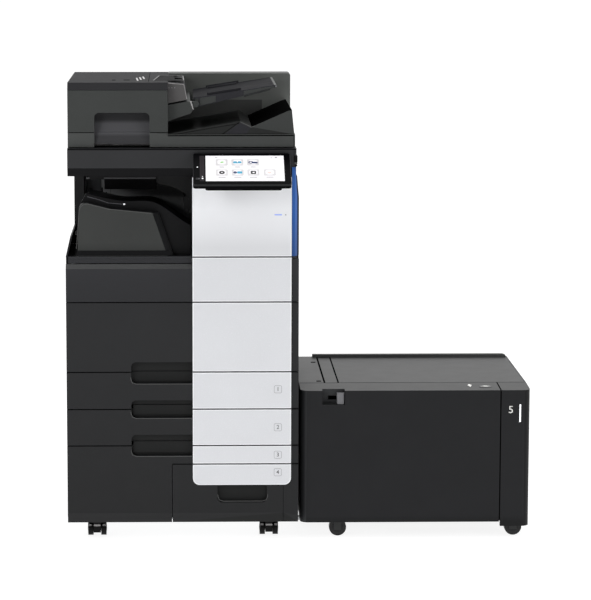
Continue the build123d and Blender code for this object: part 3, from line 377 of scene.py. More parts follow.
# Painted shade on the inner tray's surfaces inside the bay.
paint("inner_tray", BAY_SHADE, lambda c, n: c.y > 13)
paint("inner_tray", COVER_FRONT, lambda c, n: n.y < -0.9 and c.y < 13)
# Painted highlight on the upper door's top chamfer.
paint("upper_door", DOOR_EDGE_HIGHLIGHT, lambda c, n: n.y < -0.7 and n.z > 0.4 and c.z > 725)
paint("upper_casing", UPPER_DOOR, lambda c, n: n.y < -0.9 and c.y < 12 and c.z < 770)
# Painted shade on the fence face.
paint("inner_tray", FENCE_SHADE, lambda c, n: n.y < -0.9 and 39 < c.y < 41)
# Painted shade on the covers' faces at the left of the bay.
for part in ("left_cover", "upper_casing"):
    paint(part, BAY_SHADE, lambda c, n: n.y < -0.9 and c.x < -250 and c.y < 330 and c.z > 800)
# Painted light on the bay's back wall.
paint("upper_casing", BAY_BACK_LIT, lambda c, n: n.y < -0.9 and 300 < c.y < 345 and c.z > 765)
# Painted light on the lid's lower front band.
paint("df_base", LID_BAND_LIT, lambda c, n: n.y < -0.9 and c.y < 15 and c.z < 1086)
# Painted light on the feeder's rear wall.
paint("df_base", WALL_LIT, lambda c, n: n.y < -0.9 and 449 < c.y < 451 and c.z > 1090)
# Painted shade on the output ramp under the document tray.
paint("df_base", RAMP_SHADE, lambda c, n: n.y < -0.9 and 17 < c.y < 20 and c.z > 1088 and c.x < 170)
paint("df_base", RAMP_SHADE, lambda c, n: n.z > 0.85 and -40 < c.x < 180 and 150 < c.y < 320 and c.z > 1088)
paint("df_base", GAP, lambda c, n: n.z > 0.3 and 182 < c.x < 290 and c.y < 451 and c.z > 1100)
# Painted shade on the document tray's top.
for part in ("document_tray", "front_guide", "rear_guide"):
    paint(part, TRAY_TOP_SHADE, lambda c, n: n.z > 0.5)
# Painted light and shade on the scoop.
for part in ("df_base", "df_feeder"):
    paint(part, SCOOP_SHADED, in_scoop)
# Painted shade in the finger recesses.
for part in ("lower_door", "tray_1", "tray_2", "tray_3"):
    paint(part, PULL_SHADE, lambda c, n: -137 < c.x < 27 and 1.5 < c.y < 20 and 229 < c.z < 484 and abs(n.z) < 0.9)
paint("tray_4", PULL_SHADE, lambda c, n: 95 < c.x < 225 and 1.5 < c.y < 20 and c.z < 152 and abs(n.z) < 0.9)
for name, x in TONERS_X:
    paint("toner_bottles", TONERS[name], lambda c, n, x=x: abs(c.x - x) < 40 and c.y < 44)
paint("drum_units", PRINT, lambda c, n: c.y < 39.9 and 537 < c.z < 561)
paint("lu_shell", LIP, lambda c, n: c.y > 548 and c.z > 405.5 and (n.y < -0.5 or n.x > 0.2))
# Side unit front, with painted shade towards the floor and on faces that turn sideways.
for part in ("lu_front", "lu_column"):
    paint(part, SIDE_FRONT, lambda c, n: n.z < 0.3)
    paint(part, SIDE_TURN_SHADE, lambda c, n: n.z < 0.3 and abs(n.x) > 0.3)
# Painted light on the left corner.
paint("lu_front", SIDE_CORNER_LIT, lambda c, n: n.z < 0.3 and -0.97 < n.x < -0.3 and n.y < 0 and c.x < 330)
paint("lu_front", RECESS, lambda c, n: n.y < -0.5 and 43 < c.y < 45 and 370 < c.x < 425 and c.z > 355)


# ---------------------------------------------------------------- shapes
def box_outline(u, v, width, height, corner=0.0, steps=5):
    """Rounded rectangle centred on (u, v)."""
    points = []
    for cu, cv, turn in ((1, -1, -90), (1, 1, 0), (-1, 1, 90), (-1, -1, 180)):
        mu, mv = u + cu * (width / 2 - corner), v + cv * (height / 2 - corner)
        if corner == 0:
            points.append((mu, mv))
            continue
        for k in range(steps + 1):
            angle = math.radians(turn + 90 * k / steps)
            points.append((mu + corner * math.cos(angle), mv + corner * math.sin(angle)))
    return points


def circle(u, v, radius, steps=32):
    return [(u + radius * math.cos(2 * math.pi * k / steps), v + radius * math.sin(2 * math.pi * k / steps))
            for k in range(steps)]


def band(points, width):
    """Outline of a narrow band that follows a line of points."""
    left, right = [], []
    for i, (u, v) in enumerate(points):
        before, after = points[max(i - 1, 0)], points[min(i + 1, len(points) - 1)]
        du, dv = after[0] - before[0], after[1] - before[1]
        scale = width / 2 / math.hypot(du, dv)
        left.append((u - dv * scale, v + du * scale))
        right.append((u + dv * scale, v - du * scale))
    return left + right[::-1]


def rect(u0, u1, v0, v1):
    return [(u0, v0), (u1, v0), (u1, v1), (u0, v1)]


class Shape:
    """Collects prisms, rings and turned bodies that become one piece."""

    def __init__(self, place=None):
        self.verts, self.faces = [], []
        self.place = place

    def add(self, points, faces):
        first = len(self.verts)
        self.verts += [self.place(*p) if self.place else p for p in points]
        self.faces += [[first + i for i in face] for face in faces]
        return self

    @staticmethod
    def lift(axis, a, b, c):
        return {"X": (c, a, b), "Y": (a, c, b), "Z": (a, b, c)}[axis]

    def prism(self, outline, axis, low, high, top=None):
        """top is the outline at the high end, when it differs."""
        n = len(outline)
        points = [self.lift(axis, a, b, low) for a, b in outline]
        points += [self.lift(axis, a, b, high) for a, b in (top or outline)]
        faces = [list(range(n))[::-1], list(range(n, 2 * n))]
        faces += [[i, (i + 1) % n, n + (i + 1) % n, n + i] for i in range(n)]
        return self.add(points, faces)

    def ring(self, outer, inner, axis, low, high):
        n = len(outer)
        points = []
        for outline, level in ((outer, low), (inner, low), (outer, high), (inner, high)):
            points += [self.lift(axis, a, b, level) for a, b in outline]
        faces = []
        for i in range(n):
            j = (i + 1) % n
            faces += [[i, j, n + j, n + i], [2 * n + i, 3 * n + i, 3 * n + j, 2 * n + j],
                      [i, 2 * n + i, 2 * n + j, j], [n + i, n + j, 3 * n + j, 3 * n + i]]
        return self.add(points, faces)

    def turned(self, profile, axis, a, b, steps=36):
        """Profile of (radius, level) pairs turned round a line through (a, b) along axis."""
        points, faces = [], []
        for radius, level in profile:
            for u, v in circle(a, b, max(radius, 0.01), steps):
                points.append(self.lift(axis, u, v, level))
        rows = len(profile)
        for row in range(rows - 1):
            for i in range(steps):
                j = (i + 1) % steps
                faces.append([row * steps + i, row * steps + j, (row + 1) * steps + j, (row + 1) * steps + i])
        faces += [list(range(steps)), list(range((rows - 1) * steps, rows * steps))]
        return self.add(points, faces)

    def make(self, name, finish, body, slot, bevel=0.0, segments=2):
        mesh = bpy.data.meshes.new(name)
        mesh.from_pydata([at(*v) for v in self.verts], [], self.faces)
        work = bmesh.new()
        work.from_mesh(mesh)
        bmesh.ops.recalc_face_normals(work, faces=work.faces)
        work.to_mesh(mesh)
        work.free()
        mesh.materials.append(finish)
        obj = bpy.data.objects.new(name, mesh)
        scene.collection.objects.link(obj)
        if bevel:
            edge = obj.modifiers.new("edges", "BEVEL")
            edge.width = bevel / 1000
            edge.segments = segments
            edge.limit_method = "ANGLE"
            edge.angle_limit = math.radians(40)
        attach(obj, body)
        return obj


def figure(name, text, size, x, y, z, finish, body):
    """A digit on a front face."""
    curve = bpy.data.curves.new(name, "FONT")
    curve.body = text
    curve.size = size / 1000
    curve.align_x = "CENTER"
    curve.align_y = "CENTER"
    curve.extrude = 0.00012
    curve.offset = 0.0001
    curve.materials.append(finish)
    obj = bpy.data.objects.new(name, curve)
    obj.location = at(x, y, z)
    obj.rotation_euler = Euler((math.radians(90), 0, 0))
    scene.collection.objects.link(obj)
    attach(obj, body)
    return obj


def on_panel(u, v, w):
    """Point on the tilted control panel: u to the right, v up its slope, w out of its face."""
    return (PANEL_CENTRE[0] + u,
            PANEL_CENTRE[1] + v * math.cos(PANEL_TILT) - w * math.sin(PANEL_TILT),
            PANEL_CENTRE[2] + v * math.sin(PANEL_TILT) + w * math.cos(PANEL_TILT))


# ---------------------------------------------------------------- pale column
def rounded_bottom(x0, x1, z0, z1, radius, steps=8):
    """Rectangle whose two lower corners are rounded."""
    points = [(x1, z1), (x0, z1)]
    for cx, turn in ((x0 + radius, 180), (x1 - radius, 270)):
        for k in range(steps + 1):
            angle = math.radians(turn + 90 * k / steps)
            points.append((cx + radius * math.cos(angle), z0 + radius + radius * math.sin(angle)))
    return points


PALE_FRONTS = (("tower", "cabinet", 765.0, 974.0, 1.0), ("upper_door", "door_upper", 645.1, 761.8, 1.0),
               ("lower_door", "door_lower", 458.3, 641.9, 1.0), ("drawer_1", "drawer_1", 358.4, 455.1, 1.0),
               ("drawer_2", "drawer_2", 260.0, 355.2, 1.0), ("drawer_3", "drawer_3", 209.9, 256.8, 1.0),
               ("drawer_4", "drawer_4", 151.5, 206.7, 18.0))
# Painted highlight: a thin bright ring along the edge of each pale front.
for name, body, low, high, radius in PALE_FRONTS:
    outer = rounded_bottom(27.0, 287.2, low + 0.6, high - 0.6, radius)
    inner = rounded_bottom(29.2, 285.0, low + 2.4, high - 2.4, max(radius - 2.0, 0.5))
    edge = Shape().ring(outer, inner, "Y", PALE_Y - 0.15, PALE_Y + 0.1)
    edge.make(name + "_edge_highlight", PALE_EDGE_HIGHLIGHT, body, "pale")

Shape().prism(box_outline(252.2, 875, 19.5, 1.9, 0.9), "Y", PALE_Y - 0.3, PALE_Y + 0.2).make(
    "status_light", LED_BLUE, "cabinet", "blue")
Shape().prism(circle(272, 875, 1.6), "Y", PALE_Y - 0.2, PALE_Y + 0.2).make(
    "ambient_sensor", PRINT, "cabinet", "lever_grey")
for number, z in (("1", 409.8), ("2", 307.4), ("3", 233.0), ("4", 185.5)):
    body = "drawer_" + number
    outer = box_outline(NUMBER_X, z, 20.5, 20.5, 4)
    inner = box_outline(NUMBER_X, z, 18.7, 18.7, 3.1)
    Shape().ring(outer, inner, "Y", PALE_Y - 0.2, PALE_Y + 0.2).make(
        f"drawer_number_frame_{number}", PRINT, body, "lever_grey")
    figure(f"drawer_number_{number}", number, 15, NUMBER_X, PALE_Y - 0.15, z, PRINT_DARK, body)

# ---------------------------------------------------------------- control panel
strip = Shape(on_panel).prism(box_outline(-102.5, 2, 14, 118, 1), "Z", -0.1, 0.15)
strip.make("screen_side_strip", STRIP, "panel", "black_plastic")
surround = Shape(on_panel).ring(box_outline(8, 2, 210, 124, 3), box_outline(8, 2, 205.5, 119.5, 1),
                                "Z", -0.1, 0.35)
surround.make("screen_surround", GLOSS_BLACK, "panel", "black_plastic", 0.15)
rim = Shape(on_panel).ring(box_outline(0, 0, 254.6, 148.6, 7.3), box_outline(0, 0, 251.4, 145.4, 6),
                           "Z", -4.5, 0.35)
rim.make("panel_rim", PANEL_EDGE, "panel", "black_plastic", 0.3)
light = Shape(on_panel).prism(circle(-115.5, 8, 1.7, 20), "Z", 0, 0.4)
light.make("panel_light", LED_WHITE, "panel", "screen")
mark = Shape(on_panel).prism(circle(-102.5, -45, 2.4, 20), "Z", 0.1, 0.4)
mark.prism(box_outline(-102.5, -36, 1.6, 3.2, 0.4), "Z", 0.1, 0.4)
mark.make("home_mark", LED_WHITE, "panel", "screen")
power = Shape(on_panel).ring(circle(-112, -47, 2.6), circle(-112, -47, 1.9), "Z", 0.7, 1.05)
power.prism(box_outline(-112, -45.6, 0.8, 3.4), "Z", 0.7, 1.1)
power.make("power_mark", PRINT_DARK, "panel_key", "lever_grey")

TILE_COLUMNS = (-52, -11.2, 29.6, 72)
TILE_ROWS = (29.4, -18)
tiles, faces, captions = Shape(on_panel), Shape(on_panel), Shape(on_panel)
for row, v in enumerate(TILE_ROWS):
    for u in TILE_COLUMNS[:3 + row]:
        tiles.prism(box_outline(u, v, 31, 29, 3), "Z", 0.15, 0.4)
        faces.prism(box_outline(u, v + 1, 22, 22, 8), "Z", 0.3, 0.5)
        captions.prism(box_outline(u, v - 21.5, 19 if row else 13, 2.4, 1), "Z", 0.15, 0.4)
captions.prism(box_outline(90, 52, 5, 4, 1), "Z", 0.15, 0.4)
captions.prism(box_outline(-66, 52, 6, 1.5), "Z", 0.15, 0.4)
captions.prism(box_outline(78, 51, 3, 1.5), "Z", 0.15, 0.4)
tiles.make("screen_tiles", TILE, "panel", "screen")
faces.make("screen_tile_faces", UI_WHITE, "panel", "screen")
captions.make("screen_captions", UI_GREY, "panel", "screen")


class Icon(Shape):
    """Drawing in one colour on a screen tile."""

    def __init__(self):
        super().__init__(on_panel)

    def fill(self, outline):
        return self.prism(outline, "Z", 0.45, 0.65)

    def outline(self, outer, inner):
        return self.ring(outer, inner, "Z", 0.45, 0.65)

    def show(self, name, finish):
        self.make("screen_icon_" + name, finish, "panel", "screen")


c1, c2, c3, c4 = TILE_COLUMNS
r1, r2 = TILE_ROWS
Icon().fill([(c1 - 5, r1 - 1), (c1, r1 + 4), (c1 + 7, r1 + 2), (c1 + 1, r1 - 3)]).show("leaf", UI_GREEN)
pair = Icon().fill(box_outline(c2 - 6, r1, 10, 9, 3)).fill(box_outline(c2 + 6, r1, 9, 9, 3))
pair.fill(box_outline(c2, r1 - 2.5, 8, 4, 1)).show("cyan_pair", UI_CYAN)
cloud = Icon().outline(circle(c3 - 6, r1, 6, 20), circle(c3 - 6, r1, 3, 20))
cloud.fill(box_outline(c3 + 5, r1 - 1.5, 14, 7, 2)).show("navy_cloud", UI_NAVY)
Icon().outline(circle(c1, r2, 7.5, 24), circle(c1, r2, 2.4, 24)).show("black_ring", UI_BLACK)
Icon().fill(circle(c2 - 6.5, r2, 5, 20)).show("black_drop", UI_NAVY)
Icon().fill(box_outline(c2 + 5.5, r2, 13, 10, 2)).show("cyan_blocks", UI_CYAN)
square = Icon().outline(box_outline(c3, r2, 14, 15, 3), box_outline(c3 + 0.5, r2, 6, 6, 2))
square.show("black_square", UI_BLACK)
stroke = Icon().fill([(c4 - 8, r2 + 2), (c4 - 1, r2 - 4), (c4 + 7, r2 + 3), (c4 - 1, r2 - 1)])
stroke.show("orange_stroke", UI_ORANGE)

# ---------------------------------------------------------------- document feeder
lights = Shape()
for x in (-33.9, -26.4, -18.8):
    lights.prism(circle(x, 1206.3, 1.1, 16), "Y", 39.6, 40.1)
lights.make("feeder_lights", PRINT, "feeder_top", "pad_white")
# Painted glints along the feeder nose's top and right edges.
Shape().prism(band([(-36, 1218.4), (5, 1215.0), (12.7, 1176.0)], 1.5), "Y", 39.5, 40.3).make(
    "feeder_nose_edge_glint", BRIGHT_PRINT_AND_HIGHLIGHT, "feeder_top", "body_dark")
Shape().prism([(20.6, 1171.4), (28.6, 1148.8), (31.0, 1148.8), (24.4, 1171.9)], "Y", 39.8, 44).make(
    "feeder_nose_glint", BRIGHT_PRINT_AND_HIGHLIGHT, "lid", "body_dark", 0.3)
marks = Shape().prism(rect(-185.5, -176.5, 122, 150), "Z", FEEDER_TOP_Z - 0.1, FEEDER_TOP_Z + 0.1)
marks.prism(box_outline(-147, 136, 17, 26, 5), "Z", FEEDER_TOP_Z - 0.1, FEEDER_TOP_Z + 0.1)
marks.prism(rect(-88.8, -87.6, 60, 520), "Z", FEEDER_TOP_Z - 0.1, FEEDER_TOP_Z + 0.1)
marks.make("feeder_top_marks", GAP, "feeder_top", "black_plastic")
stripes = Shape()
for step in range(3):
    x = -119 + 8 * step
    front, back = 105 + 40 * step, 235 + 30 * step
    stripes.prism([(x, front), (x + 4.5, front), (x - 1, back), (x - 5, back)], "Z", FEEDER_TOP_Z - 0.1,
                  FEEDER_TOP_Z + 0.15)
stripes.make("feeder_pictogram", BRIGHT_PRINT_AND_HIGHLIGHT, "feeder_top", "lever_grey")
# Painted shade: a flat dark sheet for the shaded release recess, with a painted highlight on its raised rim.
recess = Shape().prism([(-76, 100), (-20.2, 100), (-20.2, 318), (-62, 318)], "Z", FEEDER_TOP_Z - 0.1,
                       FEEDER_TOP_Z + 0.2)
recess.prism(rect(-20.2, 1, 100, 179.5), "Z", FEEDER_TOP_Z - 0.1, FEEDER_TOP_Z + 0.2)
recess.make("feeder_release_recess_shade", UNDERCUT_SHADE, "feeder_top", "black_plastic")
rim = Shape().prism(band([(-76, 100), (-62, 318), (-2, 320), (3, 310), (4.5, 100)], 2.6), "Z", FEEDER_TOP_Z,
                    FEEDER_TOP_Z + 1.4)
rim.make("feeder_release_rim", HIGHLIGHT_GREY, "feeder_top", "body_dark", 0.5)
Shape().prism(band([(-56, 322), (-2, 322)], 7), "Z", FEEDER_TOP_Z, FEEDER_TOP_Z + 0.9).make(
    "feeder_release_glint", BRIGHT_PRINT_AND_HIGHLIGHT, "feeder_top", "body_dark", 0.4)
seams = Shape().prism(rect(-300, -230.4, 1089.7, 1091.5), "Y", 13.8, 14.1)
seams.prism(rect(-84.6, -37.6, 1089.7, 1091.5), "Y", 13.8, 14.1)
seams.prism(rect(292.6, 293.5, 1052.6, 1084.6), "Y", 13.8, 14.1)
seams.prism(rect(-37.2, 293.4, 1080.9, 1083.8), "Y", 13.7, 14.1)
seams.make("lid_front_seams", GAP, "lid", "black_plastic")
# Painted shading: a flat sheet in another grey stands for a tilted facet.
Shape().prism([(112.5, 1086.2), (153.4, 1116.6), (180.5, 1103.0), (167.5, 1086.8)], "Y", 17.7, 18.1).make(
    "output_facet_shading", TRAY, "lid", "lid_dark")
Shape().prism(band([(153, 1117.9), (182.2, 1104.0), (190, 1107.4)], 1.6), "Y", 17.4, 18.1).make(
    "output_edge_glint", HIGHLIGHT_GREY, "lid", "lid_dark")
slope_lines = Shape().prism(band([(-30, 1083.6), (150, 1113.8)], 1.3), "Y", 17.7, 18.1)
slope_lines.prism(band([(106, 1086.0), (150, 1117.0)], 1.5), "Y", 17.6, 18.1)
slope_lines.make("output_slope_lines", GAP, "lid", "black_plastic")

side = Shape().prism([(47, 1157.8), (89, 1168.0), (89, 1184.0), (47, 1177.6)], "Y", 59.2, 60.2)
side.prism([(163, 1185.6), (243, 1206.2), (243, 1209.2), (163, 1196.2)], "Y", 59.2, 60.2)
side.prism([(34, 1154.4), (43, 1156.8), (43, 1177.0), (34, 1175.6)], "Y", 59.2, 60.2)
side.make("document_tray_side_plates", FEEDER, "original_tray", "lid_dark", 0.3)
side = Shape().prism([(92, 1168.9), (158, 1184.0), (158, 1194.0), (92, 1184.4)], "Y", 59.5, 60.2)
side.make("document_tray_side_recess", TRAY, "original_tray", "lid_dark", 0.3)
Shape().prism([(164, 1179.6), (232, 1197.0), (234, 1201.4), (164, 1184.2)], "Y", 75, 405).make(
    "document_tray_rail", FEEDER, "original_tray", "lid_dark", 0.6)
cap = Shape().prism([(242.2, 1206.6), (247.6, 1207.6), (249.6, 1212.6), (243.6, 1212.2)], "Y", 60.5, 419.5)
cap.make("document_tray_end", FEEDER, "original_tray", "lid_dark", 0.8)
Shape().prism(box_outline(247.8, 1208.6, 2.4, 3.6, 0.8), "Y", 59, 62).make(
    "document_tray_end_glint", PRINT, "original_tray", "lid_dark", 0.3)

Shape().prism(rect(-38, 222.5, 1086, 1148), "Y", 449.3, 450.2).make(
    "feeder_wall_shade", WALL_LOW, "lid", "lid_dark")

# ---------------------------------------------------------------- scanner housing
# Painted shadow along the join under the lid.
Shape().prism(rect(-300.4, 299.4, 1045.9, 1049.3), "Y", -0.3, 0.2).make(
    "scanner_top_seam_shadow", UNDERCUT_SHADE, "cabinet", "body_dark")
blocks = Shape().prism(box_outline(298.6, 1022, 8.4, 17, 1.5), "Y", -0.8, 40)
blocks.prism(box_outline(298.8, 1004.6, 7, 4, 1), "Y", -0.6, 36)
blocks.make("scanner_end_blocks", CASTER, "cabinet", "black_plastic", 0.5)
Shape().prism(box_outline(299, 1010.5, 7.4, 4, 1), "Y", -0.9, 38).make(
    "scanner_end_clip", HIGHLIGHT_GREY, "cabinet", "body_dark", 0.4)
Shape().prism(rect(293.2, 294.2, 1014, 1045), "Y", -0.3, 0.2).make(
    "scanner_end_seam", GAP, "cabinet", "black_plastic")

# ---------------------------------------------------------------- output bay
# Painted highlight along the inner cover's top and left edge.
edge = [(-279.0, 784), (-271.1, 886.4), (-268.2, 895.0), (-258.8, 902.2), (-248.2, 902.8), (-194.2, 889.4),
        (-81.4, 877.4)]
Shape().prism(band(edge, 1.2), "Y", 11.6, 12.2).make("inner_cover_edge_highlight", HIGHLIGHT_GREY, "cabinet", "body_dark")
# Painted shadow along the foot of the inner cover.
Shape().prism(rect(-278.4, -32, 766.5, 779.5), "Y", 11.3, 12.2).make(
    "inner_cover_painted_shadow", DEEP_SHADE, "cabinet", "body_dark")
# Painted highlight along the fence's top edge.
fence = [(-250.5, 919.4), (-220.8, 911.8), (-194.9, 902.6), (-160, 899.6)]
Shape().prism(band(fence, 1.6), "Y", 39.5, 40.1).make("fence_edge_highlight", PRINT_DARK, "cabinet", "lever_grey")
Shape().prism(box_outline(-153.2, 899.4, 5.2, 4, 1.8), "Y", 39.2, 40.1).make(
    "bay_light", LED_WHITE, "cabinet", "screen", 0.4)
# Painted glints along the exit unit's lower edge.
glint = Shape().prism(rect(-209.9, -71.3, 953.4, 957.4), "Y", 177.5, 180)
glint.prism(rect(-258, -249, 953.4, 957.4), "Y", 177.5, 180)
glint.make("exit_unit_glint", LEVER, "cabinet", "lever_grey", 0.4)
# Painted shade: a dark block under the exit unit.
Shape().prism(rect(-209.5, -70, 925, 952.4), "Y", 183, 330).make(
    "exit_unit_shade_box", DEEP_SHADE, "cabinet", "black_plastic", 1.0)
# Painted shade: a darker panel on the left of the bay's back wall.
Shape().prism(rect(-262, -222, 884, 955), "Y", BAY_WALL_Y - 1.0, BAY_WALL_Y).make(
    "bay_wall_inset", BAY_WALL_SHADE, "cabinet", "body_dark")
marks = Shape().prism(rect(-221.4, -218.4, 893.9, 914.8), "Y", BAY_WALL_Y - 1.6, BAY_WALL_Y)
marks.prism(circle(-208.6, 901.3, 1.8, 16), "Y", BAY_WALL_Y - 1.6, BAY_WALL_Y)
marks.prism(rect(-262.6, -261.2, 890, 940), "Y", BAY_WALL_Y - 1.6, BAY_WALL_Y)
marks.make("bay_wall_marks", UNDERCUT_SHADE, "cabinet", "black_plastic")
Shape().prism(rect(-197.4, -196.0, 888.4, 912.4), "Y", BAY_WALL_Y - 1.4, BAY_WALL_Y).make(
    "bay_wall_rib", HIGHLIGHT_GREY, "cabinet", "body_dark")
Shape().prism([(-303, 765), (-291.2, 765), (-291.2, 816)], "Y", 298, 302).make(
    "shoulder_gusset", UNDERCUT_SHADE, "cabinet", "body_dark")

# ---------------------------------------------------------------- side unit
figure("drawer_number_5", "5", 28, 875.7, SIDE_FRONT_Y - 0.15, 347.5, PRINT_WHITE, "side_unit")
light = Shape().prism(box_outline(900.6, 338.8, 4.2, 48, 1.2), "Y", SIDE_FRONT_Y - 0.8, SIDE_FRONT_Y + 0.2)
light.make("side_unit_light", LED_WHITE, "side_unit", "screen", 0.5)


def on_strip(x, y, w):
    """Point on the sloping front strip of the side unit's top."""
    slope = (SIDE_TOP_Z - STRIP_FRONT_Z) / (STRIP_REAR_Y - SIDE_FRONT_Y)
    return x, y, STRIP_FRONT_Z + (y - SIDE_FRONT_Y) * slope + w


Shape(on_strip).prism([(765, 82), (771, 100), (777, 86), (772, 62)], "Z", 0, 0.3).make(
    "side_pictogram_light", PRINT_WHITE, "side_unit", "pad_white")
Shape().prism([(800, 68), (812, 75.5), (824, 68), (812, 61.5)], "Z", 403.6, 404.1).make(
    "side_key_mark", PRINT_WHITE, "side_key", "pad_white")
seams = Shape()
for outline in (rect(380.6, 385.4, 122, 548), rect(418.0, 422.2, 122, 548), rect(316, 420, 119.5, 123.5),
                rect(382, 420, 544, 549)):
    seams.prism(outline, "Z", SIDE_TOP_Z - 0.1, SIDE_TOP_Z + 0.1)
seams.make("side_top_seams", GAP, "side_unit", "black_plastic")
Shape(on_strip).prism(rect(847.4, 850.6, 22, 120), "Z", 0, 0.15).make(
    "side_strip_seam", GAP, "side_unit", "black_plastic")
Shape().prism(rect(847.2, 850.4, 46, 398), "Y", SIDE_FRONT_Y - 0.15, SIDE_FRONT_Y + 0.2).make(
    "side_front_seam", GAP, "side_unit", "black_plastic")
Shape().prism(rect(422.5, 923.5, 122.3, 125), "Z", SIDE_TOP_Z - 0.1, SIDE_TOP_Z + 0.1).make(
    "side_lid_seam", GAP, "side_lid", "black_plastic")

# ---------------------------------------------------------------- drawer seams and finger recesses
Shape().prism(rect(267.0, 267.9, 52, 150), "Y", -0.15, 0.2).make(
    "drawer_4_seam", GAP, "drawer_4", "black_plastic")
for name, body, z, span in (("drawer_1", "drawer_1", 455.8, (-307, -136.8)),
                            ("drawer_2", "drawer_2", 355.9, (-307, -136.8)),
                            ("drawer_3", "drawer_3", 257.5, (-307, -136.8)),
                            ("drawer_4", "drawer_4", 207.4, (-27.5, 26)),
                            ("lower_door", "door_lower", 642.6, (-307, 26))):
    line = Shape()
    for x0, x1 in (span, (288.6, 307)):
        line.prism(rect(x0, x1, z - 1.1, z + 0.3), "Y", -0.12, 0.6)
    line.make(name + "_seam_shadow", GAP, body, "black_plastic")
# Painted highlights: light lines along the lower rims of the finger recesses.
for name, body, x0, x1, z in (("pull_1", "drawer_1", -136.5, 26.0, 425.2),
                              ("pull_2", "drawer_2", -136.5, 26.0, 332.5),
                              ("pull_3", "drawer_3", -136.5, 26.0, 230.0),
                              ("pull_4", "drawer_4", 94.0, 225.0, 107.6)):
    corner = 13.0
    rim = [(x0 - 0.9, z + corner + 4), (x0 - 0.9, z + corner), (x0 + 2.6, z + 3.0), (x0 + corner, z - 1.0)]
    if name == "pull_4":
        rim += [(x1 - corner, z - 1.0), (x1 - 2.6, z + 3.0)]
        rim += [(x1 + 0.9, z + corner), (x1 + 0.9, z + corner + 4)]
    else:
        rim += [(x1, z - 1.0)]
    Shape().prism(band(rim, 1.3), "Y", -0.15, 0.3).make(name + "_rim", HIGHLIGHT_GREY, body, "body_dark")


# ---------------------------------------------------------------- casters
def arc(cy, cz, radius, first, last, steps=16):
    """Points of an arc between two angles in degrees."""
    angles = [math.radians(first + (last - first) * k / steps) for k in range(steps + 1)]
    return [(cy + radius * math.cos(a), cz + radius * math.sin(a)) for a in angles]


def caster_hood(name, x, y, body):
    """Hood over a twin-wheel caster, with painted highlights where it turns over the wheels."""
    z = CASTER_WHEEL_Z
    hood = Shape().prism(arc(y, z, 22.2, 32, 160) + arc(y, z, 20.2, 160, 32), "X", x - 24.8, x + 24.8)
    hood.make(name + "_hood", CASTER, body, "black_plastic", 0.6)
    glints = Shape()
    for low, high in ((-23, -14.5), (-9, 9), (14.5, 23)):
        glints.prism(arc(y, z, 22.9, 141, 155, 4) + arc(y, z, 21.8, 155, 141, 4), "X", x + low, x + high)
    glints.prism(box_outline(x, 31, 18, 5, 2), "Y", 49.3, 50.2)
    glints.make(name + "_hood_glints", BRIGHT_PRINT_AND_HIGHLIGHT, body, "lever_grey", 0.3)


caster_hood("left_caster", -CASTER_X, FRONT_CASTER_Y, "caster_left")
caster_hood("right_caster", CASTER_X, FRONT_CASTER_Y, "caster_right")


def caster_hubs(name, places, y, body):
    """Stepped hub caps on caster wheels; places are (x, outward direction)."""
    hubs = Shape()
    for x, out in places:
        hubs.turned([(9.5, x + 0.1 * out), (9.5, x + 0.5 * out), (7.5, x + 0.9 * out), (3.0, x + 0.9 * out),
                     (2.6, x + 1.3 * out)], "X", y, CASTER_WHEEL_Z)
    hubs.make(name, HIGHLIGHT_GREY, body, "black_plastic")


left_wheels = tuple((-x, -out) for x, out in reversed(CASTER_WHEELS_X))
caster_hubs("left_caster_hubs", left_wheels, FRONT_CASTER_Y, "caster_left_wheels")
caster_hubs("right_caster_hubs", CASTER_WHEELS_X, FRONT_CASTER_Y, "caster_right_wheels")
caster_hubs("rear_caster_hubs", left_wheels + CASTER_WHEELS_X, REAR_CASTER_Y, "casters_rear_wheels")
for name, x in SIDE_WHEELS_X:
    hub = Shape()
    for y, out in ((50, -1), (542, 1)):
        hub.turned([(15, y), (15, y + 0.4 * out), (12, y + 1.2 * out), (4, y + 1.2 * out),
                    (3.4, y + 1.8 * out)], "Y", x, SIDE_WHEEL_Z)
    hub.make(f"side_{name}_hubs", BLACK, f"side_wheels_{name}", "wheel_rubber")


# ---------------------------------------------------------------- rear, sides and inside
def screws(name, places, axis, level, out, body, radius=3.6):
    """Pan-head screws with crossed recesses on a face at the given level."""
    heads, crosses = Shape(), Shape()
    for u, v in places:
        heads.turned([(radius, level), (radius, level + 0.7 * out), (radius * 0.7, level + 1.5 * out),
                      (0.3, level + 1.7 * out)], axis, u, v, 20)
        low, high = sorted((level + 1.2 * out, level + 1.8 * out))
        crosses.prism(box_outline(u, v, radius, radius * 0.28), axis, low, high)
        crosses.prism(box_outline(u, v, radius * 0.28, radius), axis, low, high)
    heads.make(name, SCREW, body, "steel")
    crosses.make(name + "_recesses", GAP, body, "black_plastic")


rear_places = [(x, z) for x in (-292, -6, 292) for z in (66, 438, 468, 742)]
screws("rear_screws", rear_places + [(-282, 955), (288, 955)], "Y", REAR_Y, 1, "cabinet")
lines = Shape().prism(rect(-303, 303, 452.4, 453.8), "Y", REAR_Y - 0.1, REAR_Y + 0.12)
lines.prism(rect(60, 61.2, 50, 452.4), "Y", REAR_Y - 0.1, REAR_Y + 0.12)
lines.make("rear_seams", GAP, "cabinet", "black_plastic")
plate = Shape().ring(box_outline(CONNECTOR_X, CONNECTOR_Z, 170, 62, 4),
                     box_outline(CONNECTOR_X, CONNECTOR_Z, 164, 56, 3), "Y", REAR_Y - 0.1, REAR_Y + 1.0)
plate.make("connector_frame", BLACK, "cabinet", "black_plastic", 0.3)
plate = Shape().prism(box_outline(CONNECTOR_X, CONNECTOR_Z, 165, 57, 3), "Y", REAR_Y - 0.1, REAR_Y + 0.4)
